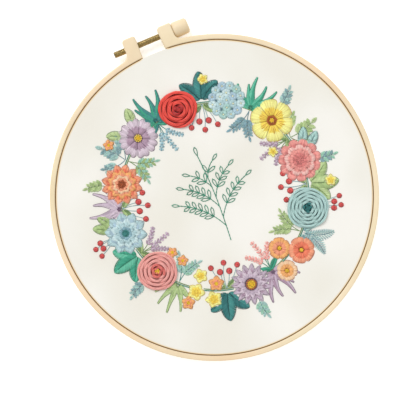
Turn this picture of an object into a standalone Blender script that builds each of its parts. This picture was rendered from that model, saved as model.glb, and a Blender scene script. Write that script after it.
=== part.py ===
"""Embroidered cloth held in a split plastic hoop that a long screw closes.

The outer hoop is one moulding: a thin ring, cut through at the top, with a
square lug on each side of the cut. A threaded rod crosses both lugs and ends
in a barrel knob. The cloth is stretched like a drum skin over a plain inner
hoop, and goes down between the two hoops to the back. Three roses stand proud
of the cloth.

Metres. +Z points out of the cloth's face, +Y towards the screw and +X along
it. The back lies on z = 0 and the origin is the middle of the footprint.
"""
import bmesh
import bpy
from math import asin, atan2, cos, exp, hypot, pi, radians, sin, sqrt
from mathutils import Vector

# ---- driving sizes ---------------------------------------------------------
HOOP_R = 0.1000        # outer hoop, outside radius
RING_T = 0.0034        # outer hoop, wall
HOOP_H = 0.0100        # outer hoop, height from back to front
RING_EDGE = 0.0007     # rounding of its long edges
GAP = 0.0003           # space left between neighbouring pieces
CLOTH_T = 0.0010       # cloth as a solid sheet
CLOTH_HEM_Z = 0.0005   # height of the cloth's trimmed edge above the back
CLOTH_SHOULDER = 0.0012  # bend of the cloth over the inner hoop, outside
INNER_T = 0.0032       # inner hoop, wall
INNER_EDGE = 0.0005    # rounding of its edges

DIP = 0.0024           # how far the hoops are drawn in at the split
DIP_SPREAD = radians(33.6)
DIP_POWER = 1.6

# The lugs lean a little towards each other, because the screw pulls their tops
# together. Heights are above the hoop's centre; the foot is the fillet between
# lug and ring.
#        side     inner face,  inner face,  outer    top     outer   inner   foot
#                 at the top   at the ring  face             corner  corner
LUGS = (("right",  0.0067,      0.0074,      0.0157, 0.1078, 0.0010, 0.0024, 0.0040),
        ("left",  -0.0071,     -0.0075,     -0.0157, 0.1087, 0.0021, 0.0016, 0.0050))
LUG_TOP = max(lug[4] for lug in LUGS)

ROD_R = 0.00185
ROD_Y = 0.1028         # screw axis above the hoop's centre
ROD_Z = 0.0052
ROD_FROM, ROD_TO = -0.0229, 0.0214
ROD_TIP = 0.0003
KNOB_R, KNOB_END_R = 0.0050, 0.0048   # it tapers a little towards its free end
KNOB_FROM, KNOB_TO = 0.0160, 0.0257
KNOB_INNER_ROUND, KNOB_OUTER_ROUND = 0.0016, 0.0017
KNOB_BORE_END = 0.0217

CENTRE_Y = (HOOP_R - LUG_TOP) / 2.0   # puts the origin mid-footprint
STEPS = 96             # divisions round the hoops
WREATH_R = 0.0570      # circle that the roses sit on
#        name              bearing  radius  height
ROSES = (("raised_rose_1", 0.0, 0.0118, 0.0026),
         ("raised_rose_2", 120.0, 0.0124, 0.0026),
         ("raised_rose_3", 240.0, 0.0118, 0.0026))

for old in list(bpy.data.objects):
    bpy.data.objects.remove(old, do_unlink=True)


# ---- helpers ---------------------------------------------------------------
def material(name, colour, roughness, metallic=0.0):
    m = bpy.data.materials.new(name)
    m.use_nodes = True
    shader = m.node_tree.nodes["Principled BSDF"]
    shader.inputs["Base Color"].default_value = (*colour, 1.0)
    shader.inputs["Roughness"].default_value = roughness
    shader.inputs["Metallic"].default_value = metallic
    m.diffuse_color = (*colour, 1.0)
    return m


def make(name, bm, mat, origin=(0.0, 0.0, 0.0), sharp=35.0):
    """A shaded object from a bmesh whose points are relative to origin."""
    bmesh.ops.recalc_face_normals(bm, faces=bm.faces)
    mesh = bpy.data.meshes.new(name)
    bm.to_mesh(mesh)
    bm.free()
    mesh.materials.append(mat)
    mesh.shade_smooth()
    mesh.set_sharp_from_angle(angle=radians(sharp))
    obj = bpy.data.objects.new(name, mesh)
    obj.location = origin
    bpy.context.scene.collection.objects.link(obj)
    return obj


def wall(radius, bearing):
    """Radius of a hoop's wall at a bearing from the split, drawn in there."""
    turn = (bearing + pi) % (2 * pi) - pi
    return radius - DIP * exp(-(abs(turn) / DIP_SPREAD) ** DIP_POWER)


def on_wall(radius, bearing):
    r = wall(radius, bearing)
    return (r * sin(bearing), CENTRE_Y + r * cos(bearing))


def bearing_at(radius, x):
    """Bearing near the split where a wall of that radius reaches x."""
    b = asin(x / radius)
    for _ in range(20):
        b = asin(x / wall(radius, b))
    return b


def arc(cx, cy, r, start, end, parts):
    return [(cx + r * cos(start + (end - start) * i / parts),
             cy + r * sin(start + (end - start) * i / parts))
            for i in range(parts + 1)]


def slab(polygons, z0, z1, edge, segments=2):
    """A closed slab over flat polygons that share edges, with the long edges
    of its front and back rounded."""
    bm = bmesh.new()
    low, high = {}, {}

    def vert(store, p, z):
        key = (round(p[0], 7), round(p[1], 7))
        if key not in store:
            store[key] = bm.verts.new((p[0], p[1], z))
        return store[key]

    count = {}
    for poly in polygons:
        keys = [(round(p[0], 7), round(p[1], 7)) for p in poly]
        bm.faces.new([vert(high, p, z1) for p in poly])
        bm.faces.new([vert(low, p, z0) for p in reversed(poly)])
        for a, b in zip(keys, keys[1:] + keys[:1]):
            count.setdefault(frozenset((a, b)), []).append((a, b))
    for pair in count.values():
        if len(pair) == 1:
            a, b = pair[0]
            bm.faces.new([low[a], low[b], high[b], high[a]])
    bmesh.ops.recalc_face_normals(bm, faces=bm.faces)
    bm.normal_update()
    rim = [e for e in bm.edges
           if sorted(abs(round(f.normal.z)) for f in e.link_faces) == [0, 1]]
    bmesh.ops.bevel(bm, geom=rim, offset=edge, offset_type="OFFSET",
                    segments=segments, profile=0.5, affect="EDGES")
    return bm


def ring_slab(r_out, r_in, z0, z1, edge):
    """A full ring, drawn in like its neighbours at the split."""
    turns = [2 * pi * k / STEPS for k in range(STEPS)]
    outer = [on_wall(r_out, b) for b in turns]
    inner = [on_wall(r_in, b) for b in turns]
    quads = [(outer[k], outer[(k + 1) % STEPS], inner[(k + 1) % STEPS], inner[k])
             for k in range(STEPS)]
    return slab(quads, z0, z1, edge)


def turned(profile, steps):
    """A solid turned about the X axis from (x, radius) points; the profile
    starts and ends on the axis."""
    bm = bmesh.new()
    rows = []
    for x, r in profile:
        if r < 1e-9:
            rows.append([bm.verts.new((x, 0.0, 0.0))])
        else:
            rows.append([bm.verts.new((x, r * sin(2 * pi * k / steps), r * cos(2 * pi * k / steps)))
                         for k in range(steps)])
    for a, b in zip(rows, rows[1:]):
        for k in range(steps):
            n = (k + 1) % steps
            corners = [a[k % len(a)], a[n % len(a)], b[n % len(b)], b[k % len(b)]]
            unique = list(dict.fromkeys(corners))
            if len(unique) > 2:
                bm.faces.new(unique)
    return bm


# ---- materials -------------------------------------------------------------
HOOP_PLASTIC = material("hoop_plastic", (0.93, 0.76, 0.55), 0.42)
INNER_PLASTIC = material("inner_plastic", (0.93, 0.78, 0.58), 0.45)
KNOB_PLASTIC = material("knob_plastic", (0.90, 0.70, 0.47), 0.40)
ROD_METAL = material("rod_metal", (0.40, 0.28, 0.12), 0.35, 1.0)
CLOTH = material("cloth", (0.88, 0.86, 0.80), 0.92)
ROSE_THREAD = {
    "raised_rose_1": material("thread_red", (0.70, 0.07, 0.07), 0.7),
    "raised_rose_2": material("thread_blue", (0.40, 0.58, 0.62), 0.7),
    "raised_rose_3": material("thread_pink", (0.82, 0.32, 0.33), 0.7),
}

# ---- outer hoop: ring, lugs, rod holes --------------------------------------
R_IN = HOOP_R - RING_T
polygons = []
foot_bearing = {}
for side, x_in, x_mouth, x_out, height, outer_corner, inner_corner, fillet in LUGS:
    s = 1.0 if x_out > 0 else -1.0
    fx = abs(x_out) + fillet                 # centre of the fillet
    fy = sqrt((HOOP_R + fillet) ** 2 - fx ** 2)
    for _ in range(20):
        fy = sqrt((wall(HOOP_R, atan2(fx, fy)) + fillet) ** 2 - fx ** 2)
    foot = atan2(fx, fy)
    foot_bearing[side] = foot
    top = height + CENTRE_Y
    fcy = fy + CENTRE_Y
    # From the ring up the fillet, over the lug's two corners and down its inner face.
    ring_dir = atan2(-fy, -fx) + 2 * pi
    outline = arc(fx, fcy, fillet, ring_dir, pi, 5)
    outline[0] = on_wall(HOOP_R, foot)
    outline += arc(abs(x_out) - outer_corner, top - outer_corner, outer_corner, 0.0, pi / 2, 3)
    outline += arc(abs(x_in) + inner_corner, top - inner_corner, inner_corner, pi / 2, pi, 3)
    mouth = bearing_at(R_IN, abs(x_mouth))
    inner_run = [mouth + (foot - mouth) * i / 2.0 for i in range(3)]
    outline += [on_wall(R_IN, b) for b in inner_run]
    polygons.append([(s * x, y) for x, y in outline])

start, stop = foot_bearing["right"], 2 * pi - foot_bearing["left"]
turns = [start] + [2 * pi * k / STEPS for k in range(STEPS)
                   if start + 0.012 < 2 * pi * k / STEPS < stop - 0.012] + [stop]
for a, b in zip(turns, turns[1:]):
    polygons.append([on_wall(HOOP_R, a), on_wall(HOOP_R, b), on_wall(R_IN, b), on_wall(R_IN, a)])
outer_hoop = make("outer_hoop", slab(polygons, 0.0, HOOP_H, RING_EDGE), HOOP_PLASTIC)

reach = abs(LUGS[0][3]) + 0.004
hole = make("rod_hole_guide",
            turned([(-reach, 0.0), (-reach, ROD_R + GAP), (reach, ROD_R + GAP), (reach, 0.0)], 24),
            HOOP_PLASTIC, origin=(0.0, ROD_Y + CENTRE_Y, ROD_Z))
hole.hide_render = True
hole.display_type = "WIRE"
cut = outer_hoop.modifiers.new("rod_holes", "BOOLEAN")
cut.operation = "DIFFERENCE"
cut.solver = "EXACT"
cut.object = hole

# ---- inner hoop --------------------------------------------------------------
CLOTH_OUT = R_IN - GAP
CLOTH_IN = CLOTH_OUT - CLOTH_T
INNER_OUT = CLOTH_IN - GAP
INNER_IN = INNER_OUT - INNER_T
INNER_TOP = HOOP_H - CLOTH_T - GAP
make("inner_hoop", ring_slab(INNER_OUT, INNER_IN, 0.0, INNER_TOP, INNER_EDGE), INNER_PLASTIC)

# ---- cloth: a tight flat face with a rim turned down between the hoops ---------
bm = bmesh.new()
shoulder_in = CLOTH_SHOULDER - CLOTH_T
section = [(CLOTH_OUT - CLOTH_SHOULDER + CLOTH_SHOULDER * sin(pi / 2 * i / 4),
            HOOP_H - CLOTH_SHOULDER + CLOTH_SHOULDER * cos(pi / 2 * i / 4)) for i in range(5)]
section += [(CLOTH_OUT, CLOTH_HEM_Z), (CLOTH_IN, CLOTH_HEM_Z)]
section += [(CLOTH_IN, HOOP_H - CLOTH_T - shoulder_in),
            (CLOTH_IN - shoulder_in, HOOP_H - CLOTH_T)]
rows = []
for r, z in section:
    rows.append([bm.verts.new((*on_wall(r, 2 * pi * k / STEPS), z)) for k in range(STEPS)])
for a, b in zip(rows, rows[1:]):
    for k in range(STEPS):
        n = (k + 1) % STEPS
        bm.faces.new((a[k], a[n], b[n], b[k]))
for row in (rows[0], rows[-1]):
    hub = bm.verts.new((0.0, CENTRE_Y, row[0].co.z))
    for k in range(STEPS):
        bm.faces.new((hub, row[k], row[(k + 1) % STEPS]))
make("cloth", bm, CLOTH)

# ---- raised roses: low domes just clear of the cloth ----------------------------
for name, bearing, radius, height in ROSES:
    b = radians(bearing)
    place = (WREATH_R * sin(b), CENTRE_Y + WREATH_R * cos(b), HOOP_H + GAP)
    bm = bmesh.new()
    steps = 28
    rim = 0.45 * height
    section = [(radius * 0.96, 0.0), (radius, rim)]
    section += [(radius * cos(t), rim + (height - rim) * sin(t))
                for t in (radians(25), radians(50), radians(72))]
    rows = [[bm.verts.new((r * cos(2 * pi * k / steps), r * sin(2 * pi * k / steps), z))
             for k in range(steps)] for r, z in section]
    for a, c in zip(rows, rows[1:]):
        for k in range(steps):
            n = (k + 1) % steps
            bm.faces.new((a[k], a[n], c[n], c[k]))
    bm.faces.new(rows[-1])
    bm.faces.new(list(reversed(rows[0])))
    make(name, bm, ROSE_THREAD[name], origin=place)

# ---- screw: rod and knob, both with their origin on the screw's axis --------------
axis = (0.0, ROD_Y + CENTRE_Y, ROD_Z)
rod = [(ROD_FROM, 0.0), (ROD_FROM, ROD_R - ROD_TIP), (ROD_FROM + ROD_TIP, ROD_R),
       (ROD_TO - ROD_TIP, ROD_R), (ROD_TO, ROD_R - ROD_TIP), (ROD_TO, 0.0)]
make("screw_rod", turned(rod, 20), ROD_METAL, origin=axis)

bore = ROD_R + GAP
knob = [(KNOB_BORE_END, 0.0), (KNOB_BORE_END, bore), (KNOB_FROM, bore)]
knob += arc(KNOB_FROM + KNOB_INNER_ROUND, KNOB_R - KNOB_INNER_ROUND, KNOB_INNER_ROUND, pi, pi / 2, 5)
knob += arc(KNOB_TO - KNOB_OUTER_ROUND, KNOB_END_R - KNOB_OUTER_ROUND, KNOB_OUTER_ROUND, pi / 2, 0.0, 4)
knob += [(KNOB_TO, 0.0)]
make("screw_knob", turned([p for i, p in enumerate(knob) if i == 0 or
                           hypot(p[0] - knob[i - 1][0], p[1] - knob[i - 1][1]) > 1e-6], 32),
     KNOB_PLASTIC, origin=axis)
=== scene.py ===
"""The looks of an embroidered cloth in a screw hoop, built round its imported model.

Lengths in the stitch code are millimetres in the hoop's own plane: x along the
screw, y towards it, z above the face of the cloth, origin at the hoop's centre.
Everything handed to Blender is metres.
"""

import math
from math import asin, atan2, cos, exp, pi, radians, sin, sqrt

import bmesh
import bpy
import numpy as np
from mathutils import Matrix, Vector


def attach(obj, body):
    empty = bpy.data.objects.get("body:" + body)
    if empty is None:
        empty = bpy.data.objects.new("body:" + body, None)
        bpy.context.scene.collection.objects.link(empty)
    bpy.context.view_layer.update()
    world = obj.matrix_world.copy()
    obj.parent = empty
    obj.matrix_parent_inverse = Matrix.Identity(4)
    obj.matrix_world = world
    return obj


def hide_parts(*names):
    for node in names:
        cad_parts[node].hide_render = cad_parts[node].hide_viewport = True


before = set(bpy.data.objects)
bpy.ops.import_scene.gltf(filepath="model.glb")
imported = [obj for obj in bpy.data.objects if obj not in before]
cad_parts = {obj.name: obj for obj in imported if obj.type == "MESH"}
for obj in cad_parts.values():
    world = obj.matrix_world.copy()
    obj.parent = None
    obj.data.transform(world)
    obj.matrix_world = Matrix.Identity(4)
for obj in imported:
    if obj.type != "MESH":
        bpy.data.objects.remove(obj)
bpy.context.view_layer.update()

# ---- sizes shared with the model -------------------------------------------
CENTRE_Y = -0.00435      # the hoop's centre in the frame
FACE_Z = 0.0100          # face of the cloth
HOOP_R, RING_T, HOOP_H = 0.1000, 0.0034, 0.0100
R_IN = HOOP_R - RING_T
CLOTH_OUT = R_IN - 0.00014  # the thin sheet, inside the space of its solid
DIP, DIP_SPREAD, DIP_POWER = 0.0024, radians(33.6), 1.6
#        inner face,  inner face,  outer    top     outer   inner   fillet
#        at the top   at the ring  face             corner  corner  at the foot
LUGS = ((0.0067,      0.0074,      0.0157, 0.1078, 0.0010, 0.0024, 0.0040),
        (-0.0071,    -0.0075,     -0.0157, 0.1087, 0.0021, 0.0016, 0.0050))
ROD_R, ROD_Y, ROD_Z = 0.00185, 0.1028, 0.0052
ROD_FROM, ROD_TO = -0.0229, 0.0214
KNOB_R, KNOB_END_R, KNOB_FROM, KNOB_TO = 0.0050, 0.0048, 0.0158, 0.0257
KNOB_INNER_ROUND, KNOB_OUTER_ROUND, KNOB_BORE_END = 0.0016, 0.0017, 0.0217
WREATH = 57.0            # radius of the ring of flowers, mm

RNG = np.random.default_rng(20)


def linear(c):
    return c / 12.92 if c <= 0.04045 else ((c + 0.055) / 1.055) ** 2.4


def rgb(r, g, b):
    """A colour given in display values from 0 to 255."""
    return tuple(linear(v / 255.0) for v in (r, g, b))


# ---- materials ----------------------------------------------------------------
class Nodes:
    """A material with a Principled shader and short ways to add nodes to it."""

    def __init__(self, name):
        self.mat = bpy.data.materials.new(name)
        self.mat.use_nodes = True
        self.tree = self.mat.node_tree
        self.shader = self.tree.nodes["Principled BSDF"]

    def set(self, **values):
        for key, value in values.items():
            socket = self.shader.inputs[key.replace("_", " ")]
            socket.default_value = (*value, 1.0) if isinstance(value, tuple) and len(value) == 3 and socket.type == "RGBA" else value
        return self

    def node(self, kind, **settings):
        n = self.tree.nodes.new(kind)
        for key, value in settings.items():
            setattr(n, key, value)
        return n

    def join(self, a, b):
        self.tree.links.new(a, b)

    def math(self, operation, a, b=None, c=None):
        n = self.node("ShaderNodeMath", operation=operation)
        for socket, value in zip(n.inputs, (a, b, c)):
            if value is None:
                continue
            if isinstance(value, (int, float)):
                socket.default_value = value
            else:
                self.join(value, socket)
        return n.outputs[0]

    def object_coords(self):
        return self.node("ShaderNodeTexCoord").outputs["Object"]

    def noise(self, vector, scale, detail=2.0, rough=0.5):
        n = self.node("ShaderNodeTexNoise")
        n.inputs["Scale"].default_value = scale
        n.inputs["Detail"].default_value = detail
        n.inputs["Roughness"].default_value = rough
        self.join(vector, n.inputs["Vector"])
        return n.outputs["Fac"]

    def ramp(self, value, stops):
        n = self.node("ShaderNodeValToRGB")
        elements = n.color_ramp.elements
        while len(elements) < len(stops):
            elements.new(0.5)
        for e, (at, colour) in zip(elements, stops):
            e.position = at
            e.color = (*colour, 1.0)
        self.join(value, n.inputs["Fac"])
        return n.outputs["Color"]

    def mix(self, factor, a, b, blend="MIX"):
        n = self.node("ShaderNodeMix", data_type="RGBA", blend_type=blend)
        for socket, value in ((n.inputs[0], factor), (n.inputs[6], a), (n.inputs[7], b)):
            if isinstance(value, (int, float)):
                socket.default_value = value
            elif isinstance(value, tuple):
                socket.default_value = (*value, 1.0)
            else:
                self.join(value, socket)
        return n.outputs[2]

    def bump(self, height, strength, distance, after=None):
        n = self.node("ShaderNodeBump")
        n.inputs["Strength"].default_value = strength
        n.inputs["Distance"].default_value = distance
        self.join(height, n.inputs["Height"])
        if after is not None:
            self.join(after, n.inputs["Normal"])
        return n.outputs["Normal"]

    def to(self, output, name):
        self.join(output, self.shader.inputs[name])
        return self


def moulded_plastic(name, light, dark, roughness, drift=0.0):
    """Satin moulded plastic coloured like pale wood: clouded a little, with a fine orange-peel skin.
    drift lets the tint wander between peach and straw along the piece."""
    m = Nodes(name).set(Specular_IOR_Level=0.42)
    where = m.object_coords()
    cloud = m.noise(where, 26.0, 2.0)
    streak = m.noise(where, 210.0, 3.0)
    blend = m.math("ADD", m.math("MULTIPLY", cloud, 0.8), m.math("MULTIPLY", streak, 0.2))
    tone = m.ramp(blend, ((0.36, dark), (0.62, light)))
    if drift:
        tint = m.ramp(m.noise(where, 9.0, 1.0), ((0.38, (1.05, 0.96, 0.92)), (0.50, (1.0, 1.0, 1.0)), (0.62, (0.97, 1.01, 0.97))))
        tone = m.mix(drift, tone, tint, "MULTIPLY")
    m.to(tone, "Base Color")
    skin = m.noise(where, 2600.0, 2.0)
    rough = m.math("ADD", m.math("MULTIPLY", m.noise(where, 600.0, 2.0), 0.16), roughness - 0.08)
    m.to(rough, "Roughness")
    m.to(m.bump(skin, 0.12, 0.00006), "Normal")
    return m.mat


def dull_brass(name):
    """Brass with bright crests and tarnish in the grooves of its thread."""
    m = Nodes(name).set(Metallic=0.85)
    where = m.object_coords()
    dull = m.noise(where, 900.0, 3.0, 0.6)
    bright = m.ramp(dull, ((0.30, rgb(160, 136, 82)), (0.70, rgb(202, 178, 120))))
    parts = m.node("ShaderNodeSeparateXYZ")
    m.join(where, parts.inputs[0])
    dy, dz = m.math("SUBTRACT", parts.outputs[1], ROD_Y + CENTRE_Y), m.math("SUBTRACT", parts.outputs[2], ROD_Z)
    out = m.math("SQRT", m.math("ADD", m.math("MULTIPLY", dy, dy), m.math("MULTIPLY", dz, dz)))
    deep = m.node("ShaderNodeMapRange")
    deep.inputs["From Min"].default_value, deep.inputs["From Max"].default_value = ROD_R + 0.00007, ROD_R - 0.00008
    m.join(out, deep.inputs["Value"])
    m.to(m.mix(deep.outputs["Result"], bright, rgb(70, 52, 22)), "Base Color")
    m.to(m.math("ADD", m.math("MULTIPLY", dull, 0.20), 0.15), "Roughness")
    return m.mat


def cotton_cloth(name):
    """Off-white plain weave, 0.42 mm a thread, with faint clouds of tone."""
    m = Nodes(name).set(Roughness=0.93, Specular_IOR_Level=0.18, Sheen_Weight=0.12, Sheen_Roughness=0.5)
    where = m.object_coords()
    parts = m.node("ShaderNodeSeparateXYZ")
    wobble = m.noise(where, 260.0, 2.0)
    m.join(where, parts.inputs[0])
    turn = 2 * pi / 0.00042
    u = m.math("ADD", m.math("MULTIPLY", parts.outputs[0], turn), m.math("MULTIPLY", wobble, 5.0))
    v = m.math("ADD", m.math("MULTIPLY", parts.outputs[1], turn), m.math("MULTIPLY", wobble, -5.0))
    warp, weft = m.math("COSINE", u), m.math("COSINE", v)
    cross = m.math("MULTIPLY", m.math("SINE", m.math("MULTIPLY", u, 0.5)), m.math("SINE", m.math("MULTIPLY", v, 0.5)))
    weave = m.math("ADD", m.math("MULTIPLY", m.math("ADD", warp, weft), 0.22), m.math("MULTIPLY", cross, 0.30))
    slub = m.noise(where, 900.0, 3.0)
    height = m.math("ADD", weave, m.math("MULTIPLY", slub, 0.7))
    cloud = m.noise(where, 21.0, 1.5)
    tone = m.ramp(cloud, ((0.34, rgb(233, 230, 220)), (0.50, rgb(237, 235, 227)), (0.66, rgb(242, 240, 234))))
    # painted shade in the weave: darker where the threads dip, in the gaps between them
    gaps = m.math("MULTIPLY", m.math("SUBTRACT", 0.5, weave), 0.10)
    tone = m.mix(gaps, tone, rgb(196, 190, 176))
    # painted light and shade where the cloth goes down between the hoops: a painted warm bounce from the plastic round
    # it, and deeper down a painted dark brown shade
    rim = m.node("ShaderNodeAttribute", attribute_name="rim").outputs["Fac"]
    painted_bounce = m.mix(m.math("MINIMUM", m.math("MULTIPLY", rim, 2.5), 1.0), tone, rgb(226, 196, 140))
    painted_crevice = m.math("MAXIMUM", m.math("DIVIDE", m.math("SUBTRACT", rim, 0.4), 0.6), 0.0)
    m.to(m.mix(painted_crevice, painted_bounce, rgb(126, 78, 16)), "Base Color")
    m.to(m.bump(height, 0.35, 0.00010), "Normal")
    return m.mat


def cotton_thread(name, colour):
    """Stranded cotton: each stitch has its own shade, its plies wind round it and it has the soft gloss of mercerised yarn."""
    m = Nodes(name).set(Roughness=0.52, Specular_IOR_Level=0.34, Sheen_Weight=0.22, Sheen_Roughness=0.4)
    shade = m.node("ShaderNodeAttribute", attribute_name="shade").outputs["Fac"]
    uv = m.node("ShaderNodeUVMap", uv_map="strand").outputs[0]
    parts = m.node("ShaderNodeSeparateXYZ")
    m.join(uv, parts.inputs[0])
    along, round_it = parts.outputs[0], parts.outputs[1]
    # two plies that make a turn every 1.3 mm
    wind = m.math("SINE", m.math("MULTIPLY", m.math("ADD", m.math("DIVIDE", along, 1.3), m.math("MULTIPLY", round_it, 2.0)), 2 * pi))
    stretch = m.node("ShaderNodeCombineXYZ")
    m.join(m.math("MULTIPLY", along, 0.9), stretch.inputs[0])
    m.join(m.math("MULTIPLY", round_it, 9.0), stretch.inputs[1])
    m.join(m.math("MULTIPLY", shade, 40.0), stretch.inputs[2])
    fibre = m.noise(stretch.outputs[0], 1.0, 2.0)
    dark = tuple(c * 0.72 for c in colour)
    light = tuple(min(1.0, c * 1.20 + 0.02) for c in colour)
    tone = m.mix(shade, dark, light)
    # painted shade in the grooves between the plies
    groove = m.math("MULTIPLY", m.math("SUBTRACT", 1.0, wind), 0.055)
    m.to(m.mix(groove, tone, tuple(c * 0.45 for c in colour)), "Base Color")
    height = m.math("ADD", m.math("MULTIPLY", wind, 0.5), fibre)
    m.to(m.bump(height, 0.40, 0.00005), "Normal")
    return m.mat


def plain_floor(name):
    m = Nodes(name).set(Roughness=0.9, Specular_IOR_Level=0.1, Emission_Strength=0.41)
    m.shader.inputs["Emission Color"].default_value = (1.0, 0.995, 0.985, 1.0)
    where = m.object_coords()
    m.to(m.ramp(m.noise(where, 3.0, 2.0), ((0.3, (0.93, 0.93, 0.93)), (0.7, (0.945, 0.945, 0.945)))), "Base Color")
    return m.mat


HOOP_PLASTIC = moulded_plastic("hoop_plastic", rgb(240, 221, 189), rgb(231, 210, 175), 0.40, drift=0.7)
# painted shade: a darker brown for the hoop's wall in the crevice beside the cloth
CREVICE_SHADE_PLASTIC = moulded_plastic("hoop_wall_painted_shade", rgb(172, 118, 46), rgb(156, 104, 36), 0.50)
INNER_PLASTIC = moulded_plastic("inner_plastic", rgb(240, 221, 189), rgb(231, 208, 172), 0.44)
KNOB_PLASTIC = moulded_plastic("knob_plastic", rgb(235, 217, 184), rgb(228, 206, 169), 0.46)
ROD_BRASS = dull_brass("rod_brass")
CLOTH = cotton_cloth("cotton_cloth")

#          name            display colour
THREADS = {
    "red": (236, 78, 66), "red_deep": (186, 44, 44), "red_dark": (150, 24, 30), "red_light": (228, 98, 88),
    "pink": (248, 168, 160), "pink_light": (246, 190, 182), "pink_shade": (196, 104, 104), "pink_deep": (222, 116, 108),
    "dusty": (234, 156, 148), "dusty_mid": (218, 130, 126), "dusty_dark": (164, 86, 88),
    "yellow": (254, 236, 146), "amber": (255, 212, 84), "gold": (244, 194, 40), "gold_dark": (198, 144, 44),
    "rust": (166, 78, 26), "rust_light": (190, 112, 44),
    "coral": (246, 158, 122), "coral_deep": (232, 124, 92), "coral_dark": (178, 86, 60), "orange": (248, 174, 108), "peach": (250, 202, 164),
    "rose_blue": (180, 212, 208), "sky": (180, 208, 212), "sky_light": (200, 222, 224), "sky_deep": (134, 172, 184), "slate": (94, 130, 140),
    "blue": (172, 198, 212), "blue_green": (168, 204, 198), "teal": (36, 112, 112), "teal_mid": (58, 136, 132), "teal_dark": (16, 72, 76),
    "jade": (56, 160, 130), "jade_light": (98, 188, 158), "sage": (168, 192, 130), "sage_light": (188, 208, 150), "sage_dark": (118, 148, 92),
    "grey_blue": (138, 172, 176), "mint": (158, 204, 182),
    "lilac": (196, 178, 194), "lilac_light": (212, 196, 208), "mauve": (174, 146, 166), "violet": (126, 98, 124),
    "berry": (212, 80, 78), "green": (50, 138, 110), "cream": (248, 236, 196),
}
THREAD_MATERIAL = {}


def thread_material(name):
    if name not in THREAD_MATERIAL:
        THREAD_MATERIAL[name] = cotton_thread("thread_" + name, rgb(*THREADS[name]))
    return THREAD_MATERIAL[name]


# ---- the hoop's plan ---------------------------------------------------------
def wall(radius, bearing):
    turn = (bearing + pi) % (2 * pi) - pi
    return radius - DIP * exp(-(abs(turn) / DIP_SPREAD) ** DIP_POWER)


def on_wall(radius, bearing):
    r = wall(radius, bearing)
    return (r * sin(bearing), CENTRE_Y + r * cos(bearing))


def bearing_at(radius, x):
    b = asin(x / radius)
    for _ in range(20):
        b = asin(x / wall(radius, b))
    return b


def arc(cx, cy, r, start, end, parts):
    return [(cx + r * cos(start + (end - start) * i / parts), cy + r * sin(start + (end - start) * i / parts))
            for i in range(parts + 1)]


def slab(polygons, z0, z1, edge, segments):
    bm = bmesh.new()
    low, high = {}, {}

    def vert(store, p, z):
        key = (round(p[0], 7), round(p[1], 7))
        if key not in store:
            store[key] = bm.verts.new((p[0], p[1], z))
        return store[key]

    count = {}
    for poly in polygons:
        keys = [(round(p[0], 7), round(p[1], 7)) for p in poly]
        bm.faces.new([vert(high, p, z1) for p in poly])
        bm.faces.new([vert(low, p, z0) for p in reversed(poly)])
        for a, b in zip(keys, keys[1:] + keys[:1]):
            count.setdefault(frozenset((a, b)), []).append((a, b))
    for pair in count.values():
        if len(pair) == 1:
            a, b = pair[0]
            bm.faces.new([low[a], low[b], high[b], high[a]])
    bmesh.ops.recalc_face_normals(bm, faces=bm.faces)
    bm.normal_update()
    rim = [e for e in bm.edges if sorted(abs(round(f.normal.z)) for f in e.link_faces) == [0, 1]]
    bmesh.ops.bevel(bm, geom=rim, offset=edge, offset_type="OFFSET", segments=segments, profile=0.5, affect="EDGES")
    return bm


def from_bmesh(name, bm, mat, sharp=40.0, other=None):
    bmesh.ops.recalc_face_normals(bm, faces=bm.faces)
    mesh = bpy.data.meshes.new(name)
    bm.to_mesh(mesh)
    bm.free()
    mesh.materials.append(mat)
    if other:
        mesh.materials.append(other)
    mesh.shade_smooth()
    mesh.set_sharp_from_angle(angle=radians(sharp))
    obj = bpy.data.objects.new(name, mesh)
    bpy.context.scene.collection.objects.link(obj)
    return obj


def turned(profile, steps, at):
    """A solid turned about the screw's axis from (x, radius) points."""
    bm = bmesh.new()
    rows = []
    for x, r in profile:
        if r < 1e-9:
            rows.append([bm.verts.new((x + at[0], at[1], at[2]))])
        else:
            rows.append([bm.verts.new((x + at[0], at[1] + r * sin(2 * pi * k / steps), at[2] + r * cos(2 * pi * k / steps)))
                         for k in range(steps)])
    for a, b in zip(rows, rows[1:]):
        for k in range(steps):
            n = (k + 1) % steps
            unique = list(dict.fromkeys([a[k % len(a)], a[n % len(a)], b[n % len(b)], b[k % len(b)]]))
            if len(unique) > 2:
                bm.faces.new(unique)
    return bm


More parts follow.
